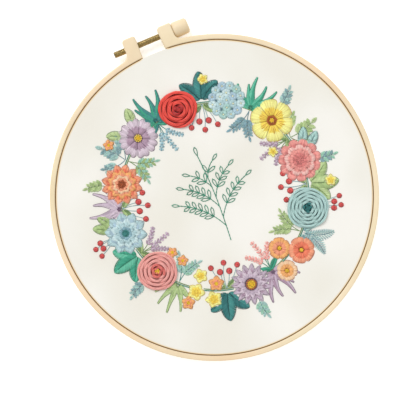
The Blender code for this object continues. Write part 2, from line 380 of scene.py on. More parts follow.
def outer_hoop():
    steps = 300
    polygons, foot_bearing = [], []
    for x_in, x_mouth, x_out, height, outer_corner, inner_corner, fillet in LUGS:
        s = 1.0 if x_out > 0 else -1.0
        fx = abs(x_out) + fillet
        fy = sqrt((HOOP_R + fillet) ** 2 - fx ** 2)
        for _ in range(20):
            fy = sqrt((wall(HOOP_R, atan2(fx, fy)) + fillet) ** 2 - fx ** 2)
        foot = atan2(fx, fy)
        foot_bearing.append(foot)
        top, fcy = height + CENTRE_Y, fy + CENTRE_Y
        outline = arc(fx, fcy, fillet, atan2(-fy, -fx) + 2 * pi, pi, 14)
        outline[0] = on_wall(HOOP_R, foot)
        outline += arc(abs(x_out) - outer_corner, top - outer_corner, outer_corner, 0.0, pi / 2, 8)
        outline += arc(abs(x_in) + inner_corner, top - inner_corner, inner_corner, pi / 2, pi, 8)
        mouth = bearing_at(R_IN, abs(x_mouth))
        outline += [on_wall(R_IN, mouth + (foot - mouth) * i / 6.0) for i in range(7)]
        polygons.append([(s * x, y) for x, y in outline])
    start, stop = foot_bearing[0], 2 * pi - foot_bearing[1]
    turns = [start] + [2 * pi * k / steps for k in range(steps)
                       if start + 0.006 < 2 * pi * k / steps < stop - 0.006] + [stop]
    for a, b in zip(turns, turns[1:]):
        polygons.append([on_wall(HOOP_R, a), on_wall(HOOP_R, b), on_wall(R_IN, b), on_wall(R_IN, a)])
    bm = slab(polygons, 0.0, HOOP_H, 0.0008, 5)
    # painted shade: faces of the wall beside the cloth take the darker brown second material, for the shade in the
    # crevice
    for face in bm.faces:                      # the wall that faces the cloth, in the crevice
        spot = face.calc_center_median()
        bearing = atan2(spot.x, spot.y - CENTRE_Y)
        if abs(face.normal.z) < 0.3 and abs(math.hypot(spot.x, spot.y - CENTRE_Y) - wall(R_IN, bearing)) < 0.0002:
            face.material_index = 1
    return from_bmesh("hoop_outer", bm, HOOP_PLASTIC, 50.0, CREVICE_SHADE_PLASTIC)


def inner_hoop():
    steps = 240
    r_out, r_in = CLOTH_OUT - 0.0009, CLOTH_OUT - 0.0009 - 0.0034
    bearings = [2 * pi * k / steps for k in range(steps)]
    outer, inner = [on_wall(r_out, b) for b in bearings], [on_wall(r_in, b) for b in bearings]
    quads = [(outer[k], outer[(k + 1) % steps], inner[(k + 1) % steps], inner[k]) for k in range(steps)]
    return from_bmesh("hoop_inner", slab(quads, 0.0, FACE_Z - 0.0006, 0.00055, 4), INNER_PLASTIC)


def cloth_sheet():
    """The cloth: tight over the inner hoop, a little uneven between the stitches, and turned down at the rim."""
    turns, shoulder, thick = 240, 0.00065, 0.0004
    face = [CLOTH_OUT - shoulder - 0.0951 * (1 - k / 38.0) for k in range(39)]
    face[-1:-1] = [CLOTH_OUT - shoulder - 0.0009, CLOTH_OUT - shoulder - 0.0004]
    top = [(r, FACE_Z) for r in face[1:]]
    top += [(CLOTH_OUT - shoulder + shoulder * sin(pi / 2 * i / 7), FACE_Z - shoulder + shoulder * cos(pi / 2 * i / 7)) for i in range(1, 8)]
    top += [(CLOTH_OUT, z) for z in (0.0066, 0.0044, 0.0022, 0.0005)]
    under = [(CLOTH_OUT - thick, z) for z in (0.0005, 0.0022, 0.0044, 0.0066)]
    si = shoulder - thick
    under += [(CLOTH_OUT - shoulder + si * cos(pi / 2 * i / 5), FACE_Z - shoulder + si * sin(pi / 2 * i / 5)) for i in range(6)]
    under += [(r, FACE_Z - thick) for r in reversed(face[1:-1])]
    rows = top + under
    verts, faces, rim = [], [], []
    for place, (r, z) in enumerate(rows):
        # the rim attribute weights the painted bounce and painted shade that the cloth's material puts in the crevice
        # between the hoops
        painted_crevice = (0.0, 0.10, 0.26, 0.46, 0.74, 1.0)[min(5, max(0, place - len(face) + 4))] if place < len(top) else 0.0
        painted_crevice *= min(1.0, max(0.0, (z - 0.001) / 0.003))
        for k in range(turns):
            b = 2 * pi * k / turns
            x, y = on_wall(r, b) if r > 0.06 else (r * sin(b), CENTRE_Y + r * cos(b))
            if r > 0.06:
                share = (r - 0.06) / (CLOTH_OUT - 0.06)
                x0, y0 = r * sin(b), CENTRE_Y + r * cos(b)
                x, y = x0 + (x - x0) * share, y0 + (y - y0) * share
            if z > FACE_Z - 0.0006 and r < CLOTH_OUT - shoulder:
                calm = min(1.0, (CLOTH_OUT - shoulder - r) / 0.012)
                z_here = z + calm * uneven(x * 1000, (y - CENTRE_Y) * 1000) / 1000
            else:
                z_here = z
            verts.append((x, y, z_here))
            rim.append(painted_crevice * (1.0 if y < 0 else min(1.0, max(0.0, (abs(x + 0.00005) - 0.0077) / 0.0012))))
    for a in range(len(rows) - 1):
        for k in range(turns):
            n = (k + 1) % turns
            faces.append((a * turns + k, a * turns + n, (a + 1) * turns + n, (a + 1) * turns + k))
    for row, flip in ((0, False), (len(rows) - 1, True)):
        hub = len(verts)
        verts.append((0.0, CENTRE_Y, (FACE_Z if row == 0 else FACE_Z - thick) + uneven(0, 0) / 1000))
        rim.append(0.0)
        for k in range(turns):
            a, b = row * turns + k, row * turns + (k + 1) % turns
            faces.append((hub, b, a) if not flip else (hub, a, b))
    mesh = bpy.data.meshes.new("cloth_sheet")
    mesh.from_pydata(verts, [], faces)
    mesh.attributes.new("rim", "FLOAT", "POINT").data.foreach_set("value", np.array(rim, dtype=np.float32))
    bm = bmesh.new()
    bm.from_mesh(mesh)
    bpy.data.meshes.remove(mesh)
    return from_bmesh("cloth_sheet", bm, CLOTH, 60.0)


def uneven(x, y):
    """Height of the cloth above flat, in mm: long, low waves."""
    return (0.07 * np.sin(0.061 * x + 0.028 * y + 0.4) + 0.06 * np.sin(0.083 * y - 0.035 * x + 1.9)
            + 0.04 * np.sin(0.142 * x - 0.106 * y + 0.7)) - 0.02


def threaded_rod():
    """The rod with its rolled thread, a turn every 0.7 mm, chamfered at both ends."""
    around, per_pitch, pitch, depth = 28, 6, 0.0007, 0.00020
    crest, length = ROD_R + 0.00010, ROD_TO - ROD_FROM
    n = int(length / pitch * per_pitch)
    y0 = ROD_Y + CENTRE_Y
    verts = []
    for i in range(n + 1):
        x = ROD_FROM + length * i / n
        end = min(1.0, (x - ROD_FROM) / 0.0006, (ROD_TO - x) / 0.0006)
        for k in range(around):
            turn = 2 * pi * k / around
            wave = abs(((x / pitch + k / around) % 1.0) * 2 - 1)
            cut = depth * min(1.0, max(0.0, wave * 1.7 - 0.62))
            r = min(crest - cut, crest - 0.00035 * (1 - end))
            verts.append((x, y0 + r * cos(turn), ROD_Z + r * sin(turn)))
    faces = [(i * around + k, i * around + (k + 1) % around, (i + 1) * around + (k + 1) % around, (i + 1) * around + k)
             for i in range(n) for k in range(around)]
    faces.append(tuple(range(around)))
    faces.append(tuple(n * around + k for k in range(around)))
    mesh = bpy.data.meshes.new("rod")
    mesh.from_pydata(verts, [], faces)
    bm = bmesh.new()
    bm.from_mesh(mesh)
    bpy.data.meshes.remove(mesh)
    return from_bmesh("screw_thread", bm, ROD_BRASS, 70.0)


def knob():
    bore = ROD_R + 0.00015
    profile = [(KNOB_BORE_END, 0.0), (KNOB_BORE_END, bore), (KNOB_FROM + 0.0002, bore), (KNOB_FROM, bore + 0.0002)]
    inner = arc(KNOB_FROM + KNOB_INNER_ROUND, KNOB_R - KNOB_INNER_ROUND, KNOB_INNER_ROUND, pi, pi / 2, 12)
    outer = arc(KNOB_TO - KNOB_OUTER_ROUND, KNOB_END_R - KNOB_OUTER_ROUND, KNOB_OUTER_ROUND, pi / 2, 0.0, 10)
    profile += [p for p in inner if p[1] > bore + 0.0003]
    profile += outer
    profile += [(KNOB_TO - 0.00005, 0.0020), (KNOB_TO - 0.00025, 0.0016), (KNOB_TO - 0.0003, 0.0)]
    clean = [profile[0]]
    for p in profile[1:]:
        if abs(p[0] - clean[-1][0]) + abs(p[1] - clean[-1][1]) > 1e-6:
            clean.append(p)
    return from_bmesh("knob_barrel", turned(clean, 64, (0.0, ROD_Y + CENTRE_Y, ROD_Z)), KNOB_PLASTIC, 45.0)


hoop_obj = outer_hoop()
hole = from_bmesh("rod_hole_guide", turned([(-0.019, 0.0), (-0.019, ROD_R + 0.0002), (0.019, ROD_R + 0.0002), (0.019, 0.0)], 40,
                                           (0.0, ROD_Y + CENTRE_Y, ROD_Z)), HOOP_PLASTIC)
cut = hoop_obj.modifiers.new("rod_holes", "BOOLEAN")
cut.operation, cut.solver, cut.object = "DIFFERENCE", "EXACT", hole
bpy.context.view_layer.update()
cut_mesh = bpy.data.meshes.new_from_object(hoop_obj.evaluated_get(bpy.context.evaluated_depsgraph_get()))
hoop_obj.modifiers.clear()
hoop_obj.data = cut_mesh
bpy.data.objects.remove(hole, do_unlink=True)

inner_obj, cloth_obj, rod_obj, knob_obj = inner_hoop(), cloth_sheet(), threaded_rod(), knob()
for obj, node, slot, body in ((hoop_obj, "outer_hoop", "hoop_plastic", "hoop"), (inner_obj, "inner_hoop", "hoop_plastic", "hoop"),
                              (cloth_obj, "cloth", "cloth", "hoop"), (rod_obj, "screw_rod", "rod_brass", "screw"),
                              (knob_obj, "screw_knob", "knob_plastic", "screw")):
    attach(obj, body)
    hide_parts(node)


# ---- stitches ---------------------------------------------------------------
def unit(heading):
    """Unit vector at a heading in degrees, clockwise from the screw's side."""
    a = radians(heading)
    return np.array([sin(a), cos(a)])


def polar(r, heading):
    return unit(heading) * r


def heading_of(v):
    return math.degrees(atan2(v[0], v[1]))


def rand(n, low, high):
    return RNG.uniform(low, high, n)


REVERSE = []      # threads that cross the back from the end of one stitch to the start of the next


class Stitches:
    """Collects stitches and makes one mesh of them: each is a tube with its own shade."""

    def __init__(self, name, under=False):
        self.name = name
        self.under = under        # runs beneath the flowers where it meets them
        self.batches = []

    def add(self, points, width, height=None, colour="green", shade=None, sides=5, lobes=None):
        points = np.asarray(points, float)
        n, k = points.shape[:2]
        width = np.broadcast_to(np.asarray(width, float).reshape(-1, 1) if np.ndim(width) == 1 else width, (n, k))
        height = width * 0.74 if height is None else np.broadcast_to(height, (n, k))
        if shade is None:
            shade = np.clip(RNG.normal(0.62, 0.20, (n, 1)), 0.05, 1.0)
        shade = np.broadcast_to(np.asarray(shade, float).reshape(-1, 1) if np.ndim(shade) == 1 else shade, (n, k))
        if self.under:
            share = np.full((n, k), 9.0)
            for spot, radius in FLOWERS:
                share = np.minimum(share, np.hypot(points[..., 0] - spot[0], points[..., 1] - spot[1]) / radius)
            points = points.copy()
            points[..., 2] = np.where(share < 1.03, np.minimum(points[..., 2], 0.10), points[..., 2])
            points[..., 2] = np.where(share < 0.84, -0.5, points[..., 2])
            kept = (share > 0.84).sum(axis=1) > 1
            if not kept.any():
                return
            points, width, height, shade = points[kept], width[kept], height[kept], shade[kept]
        self.batches.append((points, width, height, colour, shade, sides, lobes))
        if len(points) > 1:
            a, b = points[:-1:2, -1, :2], points[1::2, 0, :2]
            m = min(len(a), len(b))
            far = np.hypot(*(a[:m] - b[:m]).T)
            near = (far > 0.8) & (far < 15.0)
            if near.any():
                REVERSE.append((a[:m][near], b[:m][near], colour))

    def faces(self):
        return sum(p.shape[0] * ((p.shape[1] - 1) * s * 2 + 2 * (s - 2)) for p, _, _, _, _, s, _ in self.batches)

    def build(self):
        verts, polys, starts, shades, mats, strand, bake = [], [], [], [], [], [], []
        names = list(dict.fromkeys(b[3] for b in self.batches))
        total = sum(b[0].shape[0] for b in self.batches)
        cells = max(1, math.ceil(sqrt(total * 2.2)))
        rows = max(1, math.ceil(total / cells))
        made, base = 0, 0
        for points, width, height, colour, shade, s, lobes in self.batches:
            n, k = points.shape[:2]
            t = np.empty_like(points)
            t[:, 1:-1] = points[:, 2:] - points[:, :-2]
            t[:, 0], t[:, -1] = points[:, 1] - points[:, 0], points[:, -1] - points[:, -2]
            t /= np.linalg.norm(t, axis=2, keepdims=True) + 1e-9
            side = np.cross(np.array([0.0, 0.0, 1.0]), t)
            size = np.linalg.norm(side, axis=2, keepdims=True)
            side = np.where(size > 1e-4, side / np.maximum(size, 1e-4), np.array([1.0, 0.0, 0.0]))
            up = np.cross(t, side)
            ang = 2 * pi * (np.arange(s) + 0.5) / s
            run = np.concatenate([np.zeros((n, 1)), np.cumsum(np.linalg.norm(np.diff(points, axis=1), axis=2), axis=1)], axis=1)
            fat = np.ones((n, k, s))
            if lobes:
                count, turn_mm, depth = lobes
                fat = 1 + depth * np.cos(count * ang[None, None, :] - 2 * pi * run[:, :, None] / turn_mm * count)
            ring = (points[:, :, None, :]
                    + side[:, :, None, :] * (width[:, :, None] / 2 * fat * np.cos(ang))[..., None]
                    + up[:, :, None, :] * (height[:, :, None] / 2 * fat * np.sin(ang))[..., None])
            verts.append(ring.reshape(-1, 3))
            shades.append(np.repeat(shade.reshape(-1), s))
            i = np.arange(n)[:, None, None] * (k * s)
            kk = np.arange(k - 1)[None, :, None] * s
            j, j2 = np.arange(s)[None, None, :], (np.arange(s)[None, None, :] + 1) % s
            quads = np.stack([i + kk + j, i + kk + j2, i + kk + s + j2, i + kk + s + j], axis=-1) + base
            first = (np.arange(n)[:, None] * (k * s) + np.arange(s)[::-1][None, :]) + base
            last = (np.arange(n)[:, None] * (k * s) + (k - 1) * s + np.arange(s)[None, :]) + base
            polys += [quads.reshape(-1), first.reshape(-1), last.reshape(-1)]
            starts += [np.full(n * (k - 1) * s, 4), np.full(n, s), np.full(n, s)]
            mats.append(np.full(n * (k - 1) * s + 2 * n, names.index(colour)))
            # strand holds the distance along and the share round; OFBake gives each stitch a cell of its own.
            u0, u1 = run[:, :-1, None], run[:, 1:, None]
            v0, v1 = np.arange(s)[None, None, :] / s, (np.arange(s)[None, None, :] + 1) / s
            shape = (n, k - 1, s)
            q = np.stack([np.broadcast_to(v, shape) for v in (u0, v0, u0, v1, u1, v1, u1, v0)], -1)
            strand += [q.reshape(-1, 2), np.zeros((n * s, 2)),
                       np.stack([np.repeat(run[:, -1], s), np.zeros(n * s)], -1)]
            number = made + np.arange(n)
            cx, cy = (number % cells)[:, None, None], (number // cells)[:, None, None]
            f = run / np.maximum(run[:, -1:], 1e-6)
            a0, a1 = (cx + 0.08 + 0.84 * f[:, :-1, None]) / cells, (cx + 0.08 + 0.84 * f[:, 1:, None]) / cells
            b0, b1 = (cy + 0.1 + 0.8 * v0) / rows, (cy + 0.1 + 0.8 * v1) / rows
            b = np.stack([np.broadcast_to(v, shape) for v in (a0, b0, a0, b1, a1, b1, a1, b0)], -1)
            turn = 0.03 * np.stack([np.cos(ang), np.sin(ang)], -1)
            ends = []
            for edge, order in ((0.05, slice(None, None, -1)), (0.95, slice(None))):
                spot = np.stack([(cx[:, :, 0] + edge + turn[None, order, 0]) / cells,
                                 (cy[:, :, 0] + 0.5 + turn[None, order, 1]) / rows], -1)
                ends.append(spot.reshape(-1, 2))
            bake += [b.reshape(-1, 2), *ends]
            made += n
            base += n * k * s
        co = np.concatenate(verts)
        co = np.stack([co[:, 0] / 1000, CENTRE_Y + co[:, 1] / 1000,
                       FACE_Z + (co[:, 2] + uneven(co[:, 0], co[:, 1])) / 1000], -1)
        loops, lens = np.concatenate(polys), np.concatenate(starts)
        mesh = bpy.data.meshes.new(self.name)
        mesh.vertices.add(len(co))
        mesh.vertices.foreach_set("co", co.astype(np.float32).ravel())
        mesh.loops.add(len(loops))
        mesh.loops.foreach_set("vertex_index", loops.astype(np.int32))
        mesh.polygons.add(len(lens))
        mesh.polygons.foreach_set("loop_start", np.concatenate([[0], np.cumsum(lens)[:-1]]).astype(np.int32))
        mesh.polygons.foreach_set("material_index", np.concatenate(mats).astype(np.int32))
        for name in names:
            mesh.materials.append(thread_material(name))
        for layer, data in (("OFBake", bake), ("strand", strand)):
            uv = mesh.uv_layers.new(name=layer, do_init=False)
            uv.uv.foreach_set("vector", np.concatenate(data).astype(np.float32).ravel())
        tint = mesh.attributes.new("shade", "FLOAT", "POINT")
        tint.data.foreach_set("value", np.concatenate(shades).astype(np.float32))
        mesh.update(calc_edges=True)
        mesh.validate()
        mesh.shade_smooth()
        obj = bpy.data.objects.new(self.name, mesh)
        bpy.context.scene.collection.objects.link(obj)
        return obj


def lay(a, b, top, k=6, dive=0.28, power=3.0, end_a=None, end_b=None):
    """Straight stitches from points a to points b: out of the cloth, along at height top, and back in."""
    a, b = np.atleast_2d(a), np.atleast_2d(b)
    n = len(a)
    t = 0.5 - 0.5 * np.cos(np.pi * np.linspace(0, 1, k))
    xy = a[:, None, :] * (1 - t)[None, :, None] + b[:, None, :] * t[None, :, None]
    lift = 1 - np.abs(2 * t - 1) ** power
    za = np.broadcast_to(-dive if end_a is None else end_a, (n,))[:, None]
    zb = np.broadcast_to(-dive if end_b is None else end_b, (n,))[:, None]
    ends = za * (1 - t) + zb * t
    top = np.broadcast_to(np.asarray(top, float).reshape(-1, 1) if np.ndim(top) == 1 else top, (n, k))
    z = ends + (top - ends) * lift
    return np.concatenate([xy, z[..., None]], -1)


def taper(n, k, w, least=0.6):
    t = 0.5 - 0.5 * np.cos(np.pi * np.linspace(0, 1, k))
    return np.broadcast_to(w * (least + (1 - least) * (1 - np.abs(2 * t - 1) ** 2.5)), (n, k))


class Run:
    """A curve read by its share of length."""

    def __init__(self, points):
        self.p = np.asarray(points, float)
        step = np.linalg.norm(np.diff(self.p, axis=0), axis=1)
        self.s = np.concatenate([[0], np.cumsum(step)])
        self.length = self.s[-1]

    def at(self, share):
        d = np.clip(np.asarray(share, float), 0, 1) * self.length
        return np.stack([np.interp(d, self.s, self.p[:, 0]), np.interp(d, self.s, self.p[:, 1])], -1)

    def way(self, share):
        a, b = self.at(np.asarray(share) - 0.02), self.at(np.asarray(share) + 0.02)
        v = b - a
        return v / (np.linalg.norm(v, axis=-1, keepdims=True) + 1e-9)


def bend(p0, p1, bow, n=60):
    """A curve from p0 to p1 that bows to the right by bow times its length."""
    p0, p1 = np.asarray(p0, float), np.asarray(p1, float)
    d = p1 - p0
    mid = (p0 + p1) / 2 + np.array([d[1], -d[0]]) * bow * 2
    t = np.linspace(0, 1, n)[:, None]
    return (1 - t) ** 2 * p0 + 2 * t * (1 - t) * mid + t ** 2 * p1


def split_line(st, points, colour, w=0.34, z=0.12, shade=0.35, step=0.75):
    """A fine line of split stitch."""
    line = Run(points)
    n = max(5, int(line.length / step) + 1)
    s = np.linspace(0, 1, n)
    xy = line.at(s)
    wave = np.cos(2 * pi * s * line.length / 1.9)
    height = z + 0.05 * wave
    height[0] = height[-1] = z - 0.3
    st.add(np.concatenate([xy, height[:, None]], -1)[None], (w * (0.88 + 0.12 * wave))[None], colour=colour,
           shade=np.full((1, n), shade), sides=5)


def shade_underlay(st, centre, radius, colour, z=0.10, hub=0.12, w=1.05):
    """Painted shade: a flat dark layer of spokes that the petals lie on, so the gaps between them read as shadow."""
    n = int(2 * pi * radius / (w * 0.9))
    h = np.arange(n) * 360.0 / n
    d = np.stack([np.sin(np.radians(h)), np.cos(np.radians(h))], -1)
    st.add(lay(centre + d * radius * hub, centre + d * radius, z, k=4, dive=0.2), w, 0.36, colour=colour, shade=np.full(n, 0.18), sides=5)


def petal(st, base, heading, length, width, outer, inner=None, pitch=0.57, w=0.72, pad=0.7, z0=0.0,
          root=0.34, tip="round", depth=0.36, bulge=0.9, blend=0.5, vein=None, edge_colour=None, curl=0.0, wedge=None):
    """A petal in long and short stitch: an outer row from the edge inwards, and an inner row from the centre out."""
    d = unit(heading)
    right = np.array([d[1], -d[0]])
    half = width / 2

    def spread(s):
        if wedge:
            # the room between two neighbours: distance of the foot from the centre, slope of the sides, gap
            foot, slope, gap = wedge
            room = (foot + np.asarray(s) * length) * slope - gap / 2
            return np.clip(room / half, 0.12, 1.0)
        return root + (1 - root) * np.sin(np.pi / 2 * np.clip(s, 0, 1) ** bulge)

    def edge(c):
        a = np.clip(np.abs(c), 0, 1)
        if tip == "point":
            return 1 - depth * a ** 1.2
        if tip == "notch":
            return 1 - depth * (1 - np.sqrt(1 - a ** 2.2)) - 0.13 * np.exp(-(c / 0.28) ** 2)
        return 1 - depth * (1 - np.sqrt(1 - a ** 2.2))

    def at(s, c):
        s, c = np.asarray(s, float), np.asarray(c, float)
        return base + np.outer(s * length, d) + np.outer(c * half * spread(s) + curl * length * s ** 2, right)

    def crown(c):
        return z0 + 0.14 + pad * np.sqrt(np.clip(1 - 0.97 * c ** 2, 0, 1))

    n = max(4, int(round(width / pitch)))
    c = np.linspace(-0.95, 0.95, n) + rand(n, -0.3, 0.3) / n
    c = np.clip(c, -0.97, 0.97)
    if inner is None:
        a, b = at(edge(c), c), at(np.full(n, 0.0), c)
        st.add(lay(a, b, crown(c), end_a=z0 - 0.25, end_b=z0 - 0.1), taper(n, 6, w), colour=outer)
    else:
        e = edge(c)
        a, b = at(e, c), at(e * rand(n, blend - 0.22, blend + 0.02), c)
        st.add(lay(a, b, crown(c), end_a=z0 - 0.25, end_b=crown(c) - 0.32), taper(n, 6, w), colour=outer)
        m = max(4, int(round(width * spread(0.35) / pitch)))
        c = np.clip(np.linspace(-0.92, 0.92, m) + rand(m, -0.3, 0.3) / m, -0.95, 0.95)
        a, b = at(np.full(m, 0.0), c), at(edge(c) * rand(m, blend + 0.0, blend + 0.24), c)
        st.add(lay(a, b, crown(c) + 0.06, end_a=z0 - 0.1, end_b=crown(c) - 0.12), taper(m, 6, w), colour=inner)
    if vein:
        v = np.array([-0.36, 0.0, 0.36])
        a, b = at(np.full(3, 0.04), v), at(np.array([0.40, 0.54, 0.40]), v)
        st.add(lay(a, b, crown(v) + 0.2, end_a=z0 + 0.1, end_b=crown(v)), taper(3, 6, w * 0.55), colour=vein)
    if edge_colour:
        over = 1 + 0.04 / half
        cc = np.linspace(-1, 1, 13)
        ss = np.linspace(0.05, 1 - depth, 8)
        rim = np.concatenate([at(ss, np.full(8, -over)), at(edge(cc) - 0.04 / length, cc * over)[1:-1], at(ss[::-1], np.full(8, over))])
        split_line(st, rim, edge_colour, z=z0 + 0.10)


def leaf(st, base, tip, width, colour, other=None, bow=0.0, pitch=0.59, w=0.72, pad=0.5, z0=0.0, slant=0.55, full=0.62,
         vein=None, edge_colour=None):
    """A leaf in fishbone stitch: slanted stitches from the middle line out to each edge."""
    line = Run(bend(base, tip, bow))
    n = max(5, int(line.length / pitch))

    def reach(x):
        x = np.clip(x, 0, 1)
        return width / 2 * np.clip((x ** full) * (1 - x) ** 0.72 / (0.46 ** full * 0.54 ** 0.72), 0, 1.05)

    for side in (1, -1):
        s = (np.arange(n) + rand(n, 0.3, 0.7)) / n
        out = np.clip(s + slant * reach(s) / line.length * 1.2 + 0.03, 0, 0.995)
        way = line.way(out)
        right = np.stack([way[:, 1], -way[:, 0]], -1) * side
        a = line.at(s * 0.96) - right * 0.10
        b = line.at(out) + right * reach(out)[:, None]
        span = np.linalg.norm(b - a, axis=1)
        top = z0 + 0.14 + pad * np.clip(span / (width / 2), 0.25, 1.0)
        st.add(lay(a, b, top, end_a=z0 + 0.02, end_b=z0 - 0.25), taper(n, 6, w), colour=colour if side > 0 or not other else other)
    a, b = line.at(np.array([0.0, 0.80])), line.at(np.array([0.14, 1.0]))
    st.add(lay(a, b, z0 + 0.3, end_a=z0 - 0.2, end_b=z0 - 0.2), taper(2, 6, w * 0.8), colour=colour)
    if vein:
        split_line(st, line.at(np.linspace(0.02, 0.86, 30)), vein, w=0.40, z=z0 + pad * 0.55 + 0.30, shade=0.3)
    if edge_colour:
        for side in (1, -1):
            x = np.linspace(0.0, 1.0, 22)
            way = line.way(x)
            right = np.stack([way[:, 1], -way[:, 0]], -1) * side
            split_line(st, line.at(x) + right * (reach(x) + 0.22 * np.sin(pi * x) ** 0.3)[:, None], edge_colour, z=z0 + 0.10)


def blade(st, base, tip, width, colour, other, bow=0.0, pitch=0.60, w=0.70, pad=0.45, z0=0.0, edge_colour=None):
    """A long narrow leaf, stitched lengthwise in two rows."""
    line = Run(bend(base, tip, bow))
    rows = max(3, int(width / pitch) + 1)
    for r in range(rows):
        c = -1 + 2 * r / (rows - 1) if rows > 1 else 0.0
        n = max(2, int(line.length / 4.6))
        cuts = np.linspace(0, 1, n + 1)
        cuts[1:-1] += rand(n - 1, -0.3, 0.3) / n
        for i in range(n):
            s = np.linspace(max(0.0, cuts[i] - 0.03), min(1.0, cuts[i + 1] + 0.02), 6)
            body = np.clip(1 - s, 0, 1) ** 0.75 * (0.72 + 0.28 * np.sin(pi * np.clip(s * 1.6, 0, 1)))
            way = line.way(s)
            right = np.stack([way[:, 1], -way[:, 0]], -1)
            xy = line.at(s) + right * (c * width / 2 * body)[:, None]
            z = z0 + 0.14 + pad * sqrt(max(0.0, 1 - 0.9 * c * c)) * (0.35 + 0.65 * body)
            z[0] = z0 - 0.2 if i == 0 else z[0] - 0.30
            z[-1] = z0 - 0.2 if i == n - 1 else z[-1] - 0.26
            st.add(np.concatenate([xy, z[:, None]], -1)[None], np.full((1, 6), w) * (0.55 + 0.45 * body)[None],
                   colour=colour if (c >= 0.0) else other)
            if r % 2 == 0:
                REVERSE.append((xy[:1], xy[5:], colour))
    if edge_colour:
        for side in (1, -1):
            x = np.linspace(0.0, 1.0, 22)
            way = line.way(x)
            right = np.stack([way[:, 1], -way[:, 0]], -1) * side
            body = np.clip(1 - x, 0, 1) ** 0.75 * (0.72 + 0.28 * np.sin(pi * np.clip(x * 1.6, 0, 1)))
            split_line(st, line.at(x) + right * (width / 2 * body + 0.34)[:, None], edge_colour, z=z0 + 0.08)


def stem(st, points, colour, w=0.46, length=2.3, z=0.16):
    """Stem stitch: short stitches that overlap along a curve, each a little across it."""
    line = Run(points)
    length = min(length, line.length)
    n = max(1, int(math.ceil((line.length - length) / 1.25)) + 1)
    s0 = np.linspace(0.0, 1.0 - length / line.length, n) if n > 1 else np.array([0.0])
    s1 = np.minimum(s0 + length / line.length, 1.0)
    a, b = line.at(s0), line.at(s1)
    wa = line.way((s0 + s1) / 2)
    right = np.stack([wa[:, 1], -wa[:, 0]], -1)
    mid = line.at((s0 + s1) / 2)
    REVERSE.append((line.at(s0[1::2]), line.at(s1[:-1:2][:len(s0[1::2])]), colour))
    p = lay(a + right * 0.11, b - right * 0.11, z, k=5, dive=0.12)
    p[:, 2, :2] = (p[:, 2, :2] + mid) / 2
    st.add(p, taper(n, 5, w, 0.7), colour=colour, sides=5)


def backstitch(st, points, colour, w=0.60, length=2.2, z=0.22):
    """Stitches laid end to end."""
    line = Run(points)
    n = max(1, int(round(line.length / length)))
    s = np.linspace(0, 1, n + 1)
    a, b = line.at(s[:-1]), line.at(s[1:])
    REVERSE.append((a, b, colour))
    p = lay(a, b, z, k=5, end_a=z - 0.34, end_b=z - 0.34)
    mid = line.at((s[:-1] + s[1:]) / 2)
    p[:, 2, :2] = p[:, 2, :2] * 0.3 + mid * 0.7
    st.add(p, taper(n, 5, w, 0.75), colour=colour)


def knots(st, centres, size, colour, z0=0.0):
    """French knots: thread wound nearly twice round and drawn down in the middle."""
    centres = np.atleast_2d(centres)
    n, k = len(centres), 12
    t = np.linspace(0, 1, k)
    spin = rand(n, 0, 2 * pi)[:, None] + 2 * pi * 1.85 * t[None, :]
    sizes = size * rand(n, 0.9, 1.1)[:, None]
    r = sizes * (0.24 + 0.05 * np.sin(pi * t))[None, :]
    r[:, 0] *= 0.4
    r[:, -1] *= 0.25
    x = centres[:, 0, None] + r * np.cos(spin)
    y = centres[:, 1, None] + r * np.sin(spin)
    z = z0 + sizes * (0.16 + 0.46 * t ** 0.9)[None, :]
    z[:, -1] -= sizes[:, 0] * 0.22
    z[:, 0] = z0 - 0.15
    st.add(np.stack([x, y, z], -1), np.broadcast_to(sizes * 0.44, (n, k)), colour=colour, sides=5)


def eye_of_knots(st, centre, radius, colour, size=1.05, z0=0.1, rim=None):
    spots, r = [centre], size * 0.85
    while r <= radius:
        count = max(5, int(2 * pi * r / (size * 0.86)))
        spots += [centre + unit(360.0 * k / count + 40 * r) * r for k in range(count)]
        r += size * 0.82
    knots(st, np.array(spots), size, colour, z0=z0)
    if rim:
        count = int(2 * pi * r / (size * 0.95))
        knots(st, np.array([centre + unit(360.0 * k / count) * r for k in range(count)]), size * 0.92, rim, z0=z0)


def ball(st, centre, radius, colour, heading=0.0, pad=0.9, pitch=0.40, w=0.56, z0=0.0, edge_colour=None):
    """A satin-stitched dot, padded."""
    d = unit(heading)
    right = np.array([d[1], -d[0]])
    n = max(4, int(round(2 * radius / pitch)))
    c = np.linspace(-0.90, 0.90, n)
    h = np.sqrt(1 - c ** 2) * radius
    a = centre + np.outer(c * radius, right) - np.outer(h, d)
    b = centre + np.outer(c * radius, right) + np.outer(h, d)
    st.add(lay(a, b, z0 + 0.16 + pad * np.sqrt(1 - 0.8 * c ** 2), power=2.4), taper(n, 6, w), colour=colour)
    if edge_colour:
        turn = np.linspace(0, 2 * pi * 1.10, 27)
        split_line(st, centre + (radius + 0.06) * np.stack([np.cos(turn), np.sin(turn)], -1), edge_colour, w=0.34, step=0.42)


def chain_loop(st, base, tip, width, colour, w=0.5, z=0.2):
    """A lazy daisy: one loop held at its tip by a tiny stitch."""
    base, tip = np.asarray(base, float), np.asarray(tip, float)
    d = tip - base
    REVERSE.append((base[None], (base + 0.9 * d)[None], colour))
    right = np.array([d[1], -d[0]]) / (np.linalg.norm(d) + 1e-9)
    t = np.linspace(0, 2 * pi, 17)
    s = 0.5 - 0.5 * np.cos(t)
    off = np.sin(t) * (s ** 0.55) * width / 2
    xy = base + s[:, None] * d + off[:, None] * right
    z_ = np.full(17, z)
    z_[0] = z_[-1] = -0.15
    st.add(np.concatenate([xy, z_[:, None]], -1)[None], w, colour=colour)
    u = d / (np.linalg.norm(d) + 1e-9)
    st.add(lay(tip - u * 0.25, tip + u * 0.7, z + 0.2, k=5), taper(1, 5, w), colour=colour)


